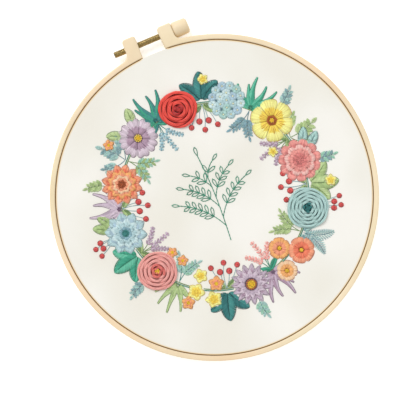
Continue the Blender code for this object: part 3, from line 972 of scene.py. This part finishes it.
def woven_rose(st, centre, radius, plan, deep, pitch=1.25, height=1.35, spokes=5, start=0.0, hollow=0.95, strands=5, strand=0.62,
               lean=0.0):
    """A woven wheel: stranded yarn that goes round and round, over and under an odd number of spokes, so that
    what lies over on one turn lies under on the next. plan lists (share of the radius, colour) from the centre out."""
    full = strand * 1.5                                    # half the width of the yarn where it lies over
    # painted shade: a dark underlay in the colour deep, seen between the turns of the yarn
    shade_underlay(st, centre, radius - full - 0.3, deep, z=0.3, w=1.5)
    r0, r1 = 0.50, radius - full
    turns = (r1 - r0) / pitch
    last, run0 = 0.0, 0.0
    for share, colour in plan:
        th0, th1 = 2 * pi * turns * last, 2 * pi * turns * share + (0.10 if share < 1 else 2 * pi * 0.9)
        last = share
        k = max(14, int((th1 - th0) / radians(7.0)))
        th = np.linspace(th0, th1, k)
        wave = np.cos(th * spokes / 2 + start)
        hump = 0.5 + 0.5 * wave
        free = 1.0 + 0.10 * np.sin(th * 0.73 + start * 3) + 0.08 * np.sin(th * 0.41 + 1.3)    # a hand's unevenness
        r = np.minimum(r0 + pitch * th / (2 * pi), r1) + pitch * 0.16 * wave * free
        past = np.clip((th - 2 * pi * turns) / (2 * pi * 0.9), 0, 1)                          # the last turn dives under the rim
        f = np.clip(r / radius, 0, 1)
        z = 0.62 + height * (1 - f ** 2.4) - hollow * np.exp(-(r / (0.17 * radius)) ** 2) + 0.66 * wave * free * (1 - 0.7 * past) - 0.55 * past
        if share >= 1:
            z[-3:] -= np.array([0.2, 0.5, 1.0])
        a = th + start + lean * np.sin(th * spokes / 2 + start)
        run = run0 + np.concatenate([[0], np.cumsum(np.hypot(np.diff(r * np.sin(a)), np.diff(r * np.cos(a))))])
        run0 = run[-1]
        rho = strand * (0.34 + 0.52 * hump)
        paths, shades = [], []
        for q in range(strands):
            phi = 2 * pi * q / strands + run * 2 * pi / 26.0
            rr, zz = r + rho * 1.15 * np.cos(phi), z + rho * 0.80 * np.sin(phi)
            paths.append(np.stack([centre[0] + rr * np.sin(a), centre[1] + rr * np.cos(a), zz], -1))
            # painted light and shade: strands are lighter on the humps where the yarn lies over and on their upper
            # side, and darker where it dips under
            shades.append(np.clip(0.10 + 0.66 * hump + 0.14 * np.sin(phi) + rand(1, -0.08, 0.08), 0, 1))
        st.add(np.stack(paths), strand, strand * 0.9, colour=colour, shade=np.stack(shades), sides=5)


def blossom(st, centre, radius, count, outer, inner, heading=0.0, eye=0.22, tip="round", gap=0.55, full=0.80, pad=0.6, z0=0.0, **more):
    """One ring of petals that nearly touch; full is where along its length a petal is widest."""
    slope = math.tan(pi / count)
    for k in range(count):
        h = heading + 360.0 * k / count
        r0 = radius * eye
        width = 2 * ((r0 + (radius - r0) * full) * slope - gap / 2)
        petal(st, centre + unit(h) * r0, h, radius - r0, width, outer, inner, tip=tip, pad=pad, z0=z0, wedge=(r0, slope, gap), **more)


def layered(st, centre, rings, heading=0.0, lift=0.5, tip="point", depth=0.42, gap=0.5, full=0.74, pad=0.55):
    """Rings of petals laid over each other. rings: (outer radius, petals, petal length, outer, inner, edge)."""
    for level, (radius, count, long, outer, inner, edge) in enumerate(rings):
        slope = math.tan(pi / count)
        for k in range(count):
            h = heading + 360.0 * (k + 0.5 * (level % 2)) / count
            foot = radius - long
            width = 2 * ((foot + long * full) * slope - gap / 2)
            petal(st, centre + unit(h) * foot, h, long, width, outer, inner, tip=tip, depth=depth, pad=pad, z0=lift * level,
                  wedge=(foot, slope, gap), edge_colour=edge)


def sprig(st, points, one, two, size, width, count=5, stem_colour=None, angle=46.0, first=0.20, end_leaf=True, pad=0.34,
          shrink=0.38, round_leaf=False):
    """A stem with leaves in pairs."""
    line = Run(points)
    stem(st, points, stem_colour or one, w=0.42)
    for k in range(count):
        s = first + (0.96 - first) * k / count
        p, way = line.at(s), line.way(s)
        small = 1 - shrink * k / count
        for side in (1, -1):
            h = heading_of(way) + side * angle
            foot = p + unit(h) * 0.35
            leaf(st, foot, foot + unit(h) * size * small, width * small, one if (k + (side > 0)) % 2 else two,
                 pad=pad, bow=-0.04 * side, pitch=0.52, w=0.56, full=0.5 if round_leaf else 0.62)
    if end_leaf:
        p, way = line.at(1.0), line.way(0.98)
        leaf(st, p - way * 0.6, p + way * size * (1 - shrink) * 1.05, width * (1 - shrink) * 1.05, two, pad=pad, pitch=0.52, w=0.56)


def fern(st, points, colour, other, size, count=12, stem_colour=None, angle=52.0):
    """A stem with straight stitches that shorten to both its ends."""
    line = Run(points)
    stem(st, points, stem_colour or colour, w=0.42)
    s = np.linspace(0.06, 0.98, count)
    for side in (1, -1):
        p, way = line.at(s), line.way(s)
        h = np.array([heading_of(v) for v in way]) + side * angle
        d = np.stack([np.sin(np.radians(h)), np.cos(np.radians(h))], -1)
        long = size * np.sin(pi * (0.16 + 0.80 * s)) ** 0.8
        for shift, tone in ((0.0, colour), (0.24, other)):
            st.add(lay(p + d * 0.1, p + d * (long * (1 - shift))[:, None] + way * shift * 1.9, 0.28 + shift * 0.5),
                   taper(count, 6, 0.56), colour=tone)


def spike(st, points, colour, other, stem_colour, count=8, first=0.40, size=2.3):
    """A lavender-like spike: whorls of short stitches up a stem."""
    line = Run(points)
    stem(st, points, stem_colour, w=0.42)
    for k in range(count):
        s = first + (1.0 - first) * k / (count - 1)
        p, way = line.at(s), line.way(s)
        h0 = heading_of(way)
        for side in (-1, 1, 0):
            h = h0 + side * 40
            long = size * (1.12 - 0.36 * k / count)
            q = p + unit(h) * 0.2
            r = np.array([cos(radians(h)), -sin(radians(h))])
            a = np.array([q + r * slip * 0.5 for slip in (-0.26, 0.26)])
            b = np.array([q + unit(h) * long + r * slip * 0.8 for slip in (-0.26, 0.26)])
            st.add(lay(a, b, 0.42 + 0.14 * (side == 0), power=2.2), taper(2, 6, 0.66), colour=colour if (k + side) % 2 else other)


def berries(st, root, heading, colour, stem_colour, reach=12.0, count=5, radius=1.6, fan=70.0, dark="red_dark"):
    """Berries on thin stems that spring from one point."""
    for k in range(count):
        share = (k + 0.5) / count - 0.5
        h = heading + fan * share
        far = reach * (1.0 - 0.32 * (k % 2))
        tip = root + unit(h) * far
        stem(st, bend(root, tip - unit(h) * radius * 0.6, 0.06 * (1 if share > 0 else -1)), stem_colour, w=0.40)
        ball(st, tip, radius * (0.94 + 0.12 * (k % 2)), colour, heading=h + 90, edge_colour=dark)
        st.add(lay(tip - unit(h) * 0.1, tip + unit(h) * 0.75, 1.25, k=5, end_a=0.9, end_b=0.8), taper(1, 5, 0.40), colour=dark)


def bud(st, base, heading, length, width, outer, inner, green, z0=0.0):
    """A closed bud in three satin petals, held by two sepals."""
    right = unit(heading + 90)
    for side in (-1, 1):
        petal(st, base + right * side * width * 0.16, heading + side * 13, length * 0.96, width * 0.52, inner, None, tip="point", depth=0.55,
              pad=0.5, z0=z0, root=0.45, bulge=0.55, pitch=0.5, w=0.58, edge_colour=inner + "_dark" if inner + "_dark" in THREADS else None)
    petal(st, base, heading, length * 0.86, width * 0.56, outer, None, tip="point", depth=0.5, pad=0.55, z0=z0 + 0.35, root=0.5,
          bulge=0.55, pitch=0.5, w=0.58)
    for side in (-1, 1):
        leaf(st, base - unit(heading) * 0.8, base + unit(heading + side * 40) * length * 0.48, width * 0.26, green, z0=z0 + 0.3, pitch=0.5, w=0.5)


PIECES = []


def done(st, stands_for=None):
    obj = st.build()
    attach(obj, "hoop")
    if stands_for:
        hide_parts(stands_for)
    PIECES.append((obj.name, st.faces()))
    return obj


# ---- the garland: twelve flowers round the ring, thirty degrees apart ----------------
OUT = {1: 58.6, 2: 57.6, 3: 56.2, 6: 57.8, 9: 58.2, 10: 56.4, 11: 58.0}     # the other places lie on the ring itself


def station(number):
    return polar(OUT.get(number, WREATH), 30.0 * number)


FLOWERS = [(station(0), 11.6), (station(1), 11.2), (station(2), 13.2), (station(3), 13.2), (station(4), 12.4), (station(6), 12.8),
           (station(8), 12.0), (station(9), 13.2), (station(10), 12.6), (station(11), 12.4)]
CORAL = ((62.0, 144.5, 8.0, "coral", "coral_deep"), (50.5, 151.5, 6.6, "orange", "coral"), (63.0, 158.5, 6.4, "peach", "orange"))
YELLOW = ((62.5, 203.0, 5.4, "yellow", "amber"), (53.0, 201.5, 5.0, "orange", "coral"), (59.0, 213.5, 5.6, "yellow", "amber"),
          (49.0, 212.5, 4.6, "yellow", "amber"), (66.5, 216.5, 4.4, "orange", "coral"))
STRAYS = ((71.2, 17.0, 3.6, "yellow", "amber"), (43.5, 229.0, 3.6, "orange", "coral"), (42.5, 239.5, 3.4, "orange", "coral"),
          (71.2, 104.8, 3.8, "yellow", "amber"), (44.5, 75.5, 3.4, "yellow", "amber"), (71.0, 318.5, 3.6, "orange", "coral"))
FLOWERS += [(polar(r, h), size) for r, h, size, _, _ in CORAL + YELLOW + STRAYS]


def ring_stem():
    """The stem that ties the garland together between the flowers."""
    st = Stitches("ring_stem", under=True)
    turn = np.radians(np.linspace(0, 360, 361))
    for r, tone in ((56.5, "sage_dark"), (57.4, "green")):
        stem(st, np.stack([r * np.sin(turn), r * np.cos(turn)], -1), tone, w=0.62)
    done(st)


def outward_leaves():
    """What fans out between two flowers, towards the rim."""
    plan = (
        (0.5, "broad", "teal", "teal_mid", "teal_dark"), (1.5, "spiky", "jade", "jade_light", "green"),
        (2.5, "round", "sage", "sage_light", "sage_dark"), (3.5, "broad", "sage", "sage_light", "sage_dark"),
        (4.5, "fern", "grey_blue", "blue_green", "slate"), (5.5, "spiky", "mauve", "lilac", "violet"),
        (6.5, "broad", "teal", "teal_mid", "teal_dark"), (7.5, "willow", "sage", "sage_light", "sage_dark"),
        (8.5, "broad", "jade", "jade_light", "green"), (9.5, "spiky", "lilac", "lilac_light", "violet"),
        (10.5, "round", "grey_blue", "blue_green", "slate"), (11.5, "spiky", "teal_mid", "jade", "teal"),
    )
    for place, kind, one, two, deep in plan:
        st = Stitches("leaves_%s_%03d" % (kind, int(place * 10)), under=True)
        out = 30 * place
        root = polar(58.2, out)
        if kind == "broad":
            for turn, far, wide, bow in ((-47, 16.6, 7.9, 0.05), (46, 15.8, 7.6, -0.05), (1, 18.0, 8.8, 0.03)):
                leaf(st, root + unit(out + turn) * 1.2, root + unit(out + turn) * far, wide, one, two, bow=bow, vein=deep, edge_colour=deep,
                     z0=0.25 if turn == 1 else 0.0)
        elif kind == "round":
            sprig(st, bend(root, root + unit(out + 3) * 16.2, 0.05), one, two, 5.9, 4.0, count=4, stem_colour=deep, angle=56, round_leaf=True, first=0.30)
            for side in (-1, 1):
                sprig(st, bend(root, root + unit(out + side * 47) * 13.6, 0.10 * side), two, one, 4.4, 2.8, count=4, stem_colour=deep, angle=50,
                      first=0.46)
        elif kind == "willow":
            for turn, far, bow in ((-52, 15.2, -0.10), (-27, 16.6, -0.06), (0, 18.4, 0.03), (25, 17.0, 0.07), (51, 14.8, 0.10)):
                blade(st, root + unit(out + turn) * 0.8, root + unit(out + turn) * far, 3.3, one, two, bow=bow, edge_colour=deep)
            knots(st, np.array([root + unit(out + h) * 0.8 for h in (0, 120, 240)]), 1.1, deep, z0=0.15)
        elif kind == "spiky":
            for turn, far, wide, bow in ((-74, 13.6, 3.5, -0.14), (-50, 16.6, 4.0, -0.12), (-26, 14.2, 3.6, -0.05), (-9, 18.8, 4.4, -0.07),
                                         (15, 16.0, 4.0, 0.09), (37, 18.6, 4.4, 0.10), (58, 14.0, 3.6, 0.12), (79, 13.6, 3.3, 0.15)):
                blade(st, root + unit(out + turn) * 0.6, root + unit(out + turn) * far, wide, one, two, bow=bow, edge_colour=deep,
                      z0=0.12 if abs(turn) < 40 else 0.0)
            foot = np.array([root + unit(out + h) * r for h, r in ((0, 0.0), (0, 1.0), (72, 1.0), (144, 1.0), (216, 1.0), (288, 1.0))])
            knots(st, foot, 1.15, deep, z0=0.15)
        else:
            fern(st, bend(root, root + unit(out - 24) * 18.2, 0.10), one, two, 4.9, count=13, stem_colour=deep)
            fern(st, bend(root, root + unit(out + 22) * 17.8, -0.10), two, one, 4.6, count=13, stem_colour=deep)
            for side in (-1, 1):
                leaf(st, root + unit(out + side * 66) * 1.0, root + unit(out + side * 68) * 13.4, 5.2, two, one, bow=0.05 * side, vein=deep, edge_colour=deep)
        done(st)


def inward_leaves():
    """What lies between two flowers, towards the middle."""
    plan = (
        (0.5, "berries", "berry", "grey_blue", "red_dark"), (1.5, "pairs", "grey_blue", "sky_deep", "slate"),
        (2.5, "spikes", "mauve", "lilac", "sage_dark"), (3.5, "berries", "berry", "grey_blue", "red_dark"),
        (4.5, "pairs", "sage", "sage_light", "sage_dark"), (5.5, "spikes", "dusty", "pink_light", "green"),
        (6.5, "berries", "berry", "grey_blue", "red_dark"), (7.5, "pairs", "mint", "blue_green", "teal_mid"),
        (8.5, "spikes", "mauve", "lilac", "sage_dark"), (9.5, "berries", "berry", "grey_blue", "red_dark"),
        (10.5, "pairs", "sage", "mint", "sage_dark"), (11.5, "spikes", "sky_deep", "sky", "teal_mid"),
    )
    for place, kind, one, two, deep in plan:
        st = Stitches("spray_%s_%03d" % (kind, int(place * 10)), under=True)
        out = 30 * place
        root = polar(56.2, out)
        inward = out + 180
        if kind == "berries":
            for side in (-1, 1):
                leaf(st, root + unit(inward + side * 56) * 0.8, root + unit(inward + side * 60) * 10.5, 4.2, "sage", "sage_dark", bow=-0.05 * side,
                     vein="sage_dark")
            berries(st, root, inward, one, two, reach=15.5, count=5, radius=1.65, fan=78, dark=deep)
        elif kind == "pairs":
            for turn, far, bow in ((-22, 16.4, 0.08), (22, 16.4, -0.08)):
                sprig(st, bend(root, root + unit(inward + turn) * far, bow), one, two, 4.4, 2.3, count=5, stem_colour=deep, first=0.34)
        else:
            for turn, far, bow in ((-26, 15.6, 0.08), (2, 18.6, 0.03), (28, 15.2, -0.08)):
                spike(st, bend(root, root + unit(inward + turn) * far, bow), one, two, deep, count=6)
            for side in (-1, 1):
                leaf(st, root, root + unit(inward + side * 62) * 9.0, 3.4, "jade" if deep != "sage_dark" else "sage", deep, bow=-0.05 * side)
        done(st)


def outer_fillers():
    """Small things that show past the flowers, towards the rim."""
    st = Stitches("fillers_leaves", under=True)
    for number, turns, far, wide, one, deep in ((3, (-62, -38), 20.4, 5.4, "blue_green", "slate"),
                                                (9, (30, 52), 20.2, 5.8, "sage", "sage_dark"),
                                                (11, (-34, 30), 19.4, 5.8, "sage_light", "sage_dark")):
        c, h = station(number), 30.0 * number
        for turn in turns:
            leaf(st, c + unit(h + turn) * 9.0, c + unit(h + turn) * far, wide, one, None, bow=0.04, vein=deep, edge_colour=deep,
                 z0=0.55 if number == 3 else 0.0)
    done(st)
    st = Stitches("fillers_sprigs", under=True)
    for number, turn, far, one, two, deep in ((2, -8, 21.4, "grey_blue", "blue_green", "slate"), (3, 12, 20.8, "grey_blue", "mint", "slate"),
                                              (6, -6, 20.8, "mint", "blue_green", "teal_mid"), (8, 8, 21.2, "grey_blue", "blue_green", "slate"),
                                              (10, -14, 21.2, "sage", "sage_light", "sage_dark")):
        c, h = station(number), 30.0 * number
        sprig(st, bend(c + unit(h + turn) * 9.0, c + unit(h + turn) * far, 0.06), one, two, 4.6, 2.7, count=4, stem_colour=deep, first=0.25)
    done(st)
    st = Stitches("fillers_berries", under=True)
    berries(st, station(4) + unit(96) * 8.0, 108, "berry", "grey_blue", reach=12.6, count=4, radius=1.55, fan=52, dark="red_dark")
    berries(st, station(9) + unit(268) * 8.0, 256, "berry", "grey_blue", reach=12.6, count=4, radius=1.55, fan=50, dark="red_dark")
    done(st)


ring_stem()
outer_fillers()
outward_leaves()
inward_leaves()


def flowers():
    st = Stitches("rose_red")
    woven_rose(st, station(0), 11.8, ((0.26, "red_deep"), (1.0, "red")), "red_dark", start=0.3, pitch=1.58, strand=0.66)
    eye_of_knots(st, station(0), 1.2, "red_deep", size=1.25, z0=1.3)
    done(st, "raised_rose_1")

    st = Stitches("rose_blue")
    woven_rose(st, station(4), 12.8, ((0.19, "teal"), (1.0, "rose_blue")), "sky_deep", start=1.1, pitch=1.10, strand=0.52, spokes=7)
    eye_of_knots(st, station(4), 1.7, "teal", size=1.15, z0=1.5)
    done(st, "raised_rose_2")

    st = Stitches("rose_pink")
    woven_rose(st, station(8), 12.2, ((0.34, "pink_deep"), (1.0, "pink")), "pink_shade", start=2.0, pitch=1.20, strand=0.56)
    eye_of_knots(st, station(8), 2.0, "gold", size=1.25, z0=1.5)
    done(st, "raised_rose_3")

    st = Stitches("hydrangea_blue")
    c = station(1)
    shade_underlay(st, c, 11.0, "slate", z=0.05, hub=0.03, w=1.3)
    spots = [c] + [c + unit(60 * k + 20) * 4.5 for k in range(6)] + [c + unit(30 * k + 5) * 8.9 for k in range(12)]
    for i, p in enumerate(spots):
        tone = ("sky", "sky_light", "blue", "sky", "blue_green")[i % 5]
        blossom(st, p, 2.75, 4, tone, None, heading=37 * i, eye=0.12, gap=0.35, pad=0.42, pitch=0.56, w=0.64, z0=0.15)
        knots(st, p, 1.05, "cream", z0=0.45)
    done(st)

    st = Stitches("anemone_yellow")
    c = station(2)
    shade_underlay(st, c, 9.0, "rust_light", hub=0.02)
    blossom(st, c, 13.2, 6, "yellow", "amber", heading=12.0, eye=0.22, pad=0.85, depth=0.42, vein="rust_light", edge_colour="gold_dark", blend=0.42)
    eye_of_knots(st, c, 1.8, "gold", size=1.15, z0=0.5, rim="rust")
    done(st)

    st = Stitches("dahlia_dusty")
    c = station(3)
    shade_underlay(st, c, 11.0, "dusty_dark", hub=0.02)
    layered(st, c, ((13.2, 11, 6.6, "dusty", "dusty_mid", "dusty_dark"), (9.8, 9, 5.4, "pink_light", "dusty", "dusty_dark"),
                    (6.5, 7, 4.2, "dusty", "dusty_mid", "dusty_dark")), tip="round", depth=0.40)
    eye_of_knots(st, c, 3.1, "dusty_mid", size=1.1, z0=1.1)
    done(st)

    st = Stitches("blossoms_coral")
    for k, (r, h, size, a, b) in enumerate(CORAL):
        c = polar(r, h)
        shade_underlay(st, c, size * 0.7, "coral_dark")
        blossom(st, c, size, 5, a, b, heading=20 * k, eye=0.20, pad=0.6, edge_colour="coral_dark")
        eye_of_knots(st, c, size * 0.20, "gold", size=1.0, z0=0.4)
    done(st)

    st = Stitches("aster_lilac")
    c = station(6)
    shade_underlay(st, c, 9.0, "violet", hub=0.02)
    layered(st, c, ((12.8, 15, 7.4, "lilac", "mauve", "violet"), (9.4, 12, 5.6, "lilac_light", "lilac", "violet")), depth=0.5)
    eye_of_knots(st, c, 2.4, "gold", size=1.15, z0=0.8, rim="rust_light")
    done(st)

    st = Stitches("blossoms_yellow")
    for k, (r, h, size, a, b) in enumerate(YELLOW):
        c = polar(r, h)
        blossom(st, c, size, 5, a, b, heading=25 * k, eye=0.14, pad=0.5, tip="point", depth=0.5, gap=0.4, full=0.66,
                edge_colour="gold_dark" if a == "yellow" else "coral_dark")
        eye_of_knots(st, c, max(0.9, size * 0.2), "gold" if a == "orange" else "amber", size=0.95, z0=0.40)
    done(st)

    st = Stitches("blossoms_stray")
    for k, (r, h, size, a, b) in enumerate(STRAYS):
        blossom(st, polar(r, h), size, 5, a, b, heading=31 * k, eye=0.14, pad=0.5, tip="point", depth=0.5, gap=0.4, full=0.66, z0=0.12,
                edge_colour="gold_dark" if a == "yellow" else "coral_dark")
        eye_of_knots(st, polar(r, h), 0.9, "gold" if a == "orange" else "amber", size=0.95, z0=0.45)
    done(st)

    st = Stitches("cornflower_blue")
    c = station(9)
    shade_underlay(st, c, 10.5, "slate", hub=0.02)
    layered(st, c, ((13.2, 10, 7.2, "sky", "blue", "slate"), (9.6, 9, 5.6, "sky_light", "sky", "slate"), (6.2, 6, 4.2, "sky", "sky_deep", "slate")),
            heading=8, depth=0.46)
    eye_of_knots(st, c, 2.1, "teal_mid", size=1.1, z0=0.9)
    done(st)

    st = Stitches("dahlia_coral")
    c = station(10)
    shade_underlay(st, c, 10.5, "coral_dark", hub=0.02)
    layered(st, c, ((12.6, 12, 6.2, "coral", "coral_deep", "coral_dark"), (9.4, 10, 5.2, "orange", "coral", "coral_dark"),
                    (6.2, 7, 4.0, "peach", "coral", "coral_dark")), heading=5, depth=0.44)
    eye_of_knots(st, c, 2.9, "rust", size=1.1, z0=0.9)
    done(st)

    st = Stitches("cosmos_lilac")
    c = station(11)
    shade_underlay(st, c, 8.0, "violet", hub=0.02)
    blossom(st, c, 12.4, 8, "lilac_light", "mauve", heading=4, eye=0.20, pad=0.7, tip="notch", depth=0.30, edge_colour="violet", blend=0.46)
    eye_of_knots(st, c, 1.9, "gold", size=1.15, z0=0.5, rim="amber")
    done(st)


flowers()


def centre_spray():
    """A light spray in one green thread where the middle of the ring would otherwise be empty."""
    st = Stitches("centre_spray")
    turn = np.linspace(0, 1, 60)
    main = np.stack([1.8 * np.sin(2.6 * turn) - 1.0, -28.5 + 55.0 * turn], -1)
    backstitch(st, main, "green", w=0.62, length=2.2)
    line = Run(main)
    chain_loop(st, line.at(1.0), line.at(1.0) + np.array([0.2, 5.2]), 2.4, "green", w=0.50)
    for s, hand, long, lean in ((0.17, -1, 30.5, 49), (0.27, 1, 28.5, 47), (0.39, -1, 24.0, 44), (0.50, 1, 20.5, 42), (0.62, -1, 15.0, 40), (0.73, 1, 11.0, 38)):
        foot, way = line.at(s), line.way(s)
        end = foot + unit(heading_of(way) + hand * lean) * long
        twig = bend(foot, end, -0.09 * hand)
        backstitch(st, twig, "green", w=0.58, length=2.1)
        arm = Run(twig)
        count = max(1, int(long / 5.9))
        for k in range(count):
            at = 0.30 + 0.62 * k / count
            p, d = arm.at(at), arm.way(at)
            for side in (-1, 1):
                h = heading_of(d) + side * 43
                chain_loop(st, p, p + unit(h) * (5.3 - 1.6 * k / count), 2.3, "green", w=0.50)
        chain_loop(st, end, end + arm.way(0.98) * 4.4, 2.1, "green", w=0.48)
    done(st)


centre_spray()


def reverse_side():
    """The back of the embroidery: the same threads cross from each stitch to the next, flat against the cloth."""
    st = Stitches("reverse_threads")
    for a, b, colour in list(REVERSE):
        n = len(a)
        t = np.array([0.0, 0.5, 1.0])
        xy = a[:, None, :] * (1 - t)[None, :, None] + b[:, None, :] * t[None, :, None]
        z = np.broadcast_to(np.array([-0.30, -0.62, -0.30]), (n, 3)) + rand(n, -0.06, 0.06)[:, None]
        st.add(np.concatenate([xy, z[..., None]], -1), 0.95, 0.42, colour=colour, sides=3)
    done(st)


reverse_side()

# ---- floor, light, camera ------------------------------------------------------
floor_mesh = bpy.data.meshes.new("floor")
floor_mesh.from_pydata([(-3, -3, -0.0002), (3, -3, -0.0002), (3, 3, -0.0002), (-3, 3, -0.0002)], [], [(0, 1, 2, 3)])
floor_mesh.materials.append(plain_floor("floor"))
floor = bpy.data.objects.new("floor", floor_mesh)
bpy.context.scene.collection.objects.link(floor)

scene = bpy.context.scene
scene.view_settings.view_transform = "Standard"
scene.view_settings.look = "None"
world = bpy.data.worlds.new("soft_room")
world.use_nodes = True
world.node_tree.nodes["Background"].inputs["Color"].default_value = (1.0, 0.995, 0.985, 1.0)
world.node_tree.nodes["Background"].inputs["Strength"].default_value = 0.66
scene.world = world

ROLL = radians(-22.8)     # the camera's turn about its own axis
right_axis = np.array([cos(ROLL), sin(ROLL)])
up_axis = np.array([-sin(ROLL), cos(ROLL)])


def lamp(name, kind, towards, energy, size):
    """A soft light that shines from a direction given in the picture: right, up and out of it."""
    light = bpy.data.lights.new(name, kind)
    light.energy = energy
    if kind == "SUN":
        light.angle = size
    else:
        light.size = size
    obj = bpy.data.objects.new(name, light)
    d = Vector((*(right_axis * towards[0] + up_axis * towards[1]), towards[2])).normalized()
    obj.location = d * 1.4
    obj.rotation_mode = "QUATERNION"
    obj.rotation_quaternion = d.to_track_quat("Z", "Y")
    scene.collection.objects.link(obj)
    return obj


lamp("key", "SUN", (-0.55, 0.70, 1.0), 1.55, radians(30))
lamp("fill", "SUN", (0.7, -0.3, 1.0), 0.25, radians(60))

PIXEL = 0.00060595        # metres a pixel at the face of the cloth
HOOP_PX = (214.35, 196.2)
camera = bpy.data.cameras.new("camera")
camera.lens, camera.sensor_width = 100.0, 36.0
shift_right, shift_up = (HOOP_PX[0] - 208.0) * PIXEL, (208.0 - HOOP_PX[1]) * PIXEL
spot = np.array([0.0, CENTRE_Y]) - right_axis * shift_right - up_axis * shift_up
camera_obj = bpy.data.objects.new("camera", camera)
far = 208.0 * PIXEL / (18.0 / 100.0)
camera_obj.location = (spot[0], spot[1], FACE_Z + far)
camera_obj.rotation_euler = (0.0, 0.0, ROLL)
camera.clip_start, camera.clip_end = 0.01, 20.0
scene.collection.objects.link(camera_obj)
scene.camera = camera_obj

print("STITCHED", sum(f for _, f in PIECES), "triangles in", len(PIECES), "pieces; most", max(PIECES, key=lambda p: p[1]))
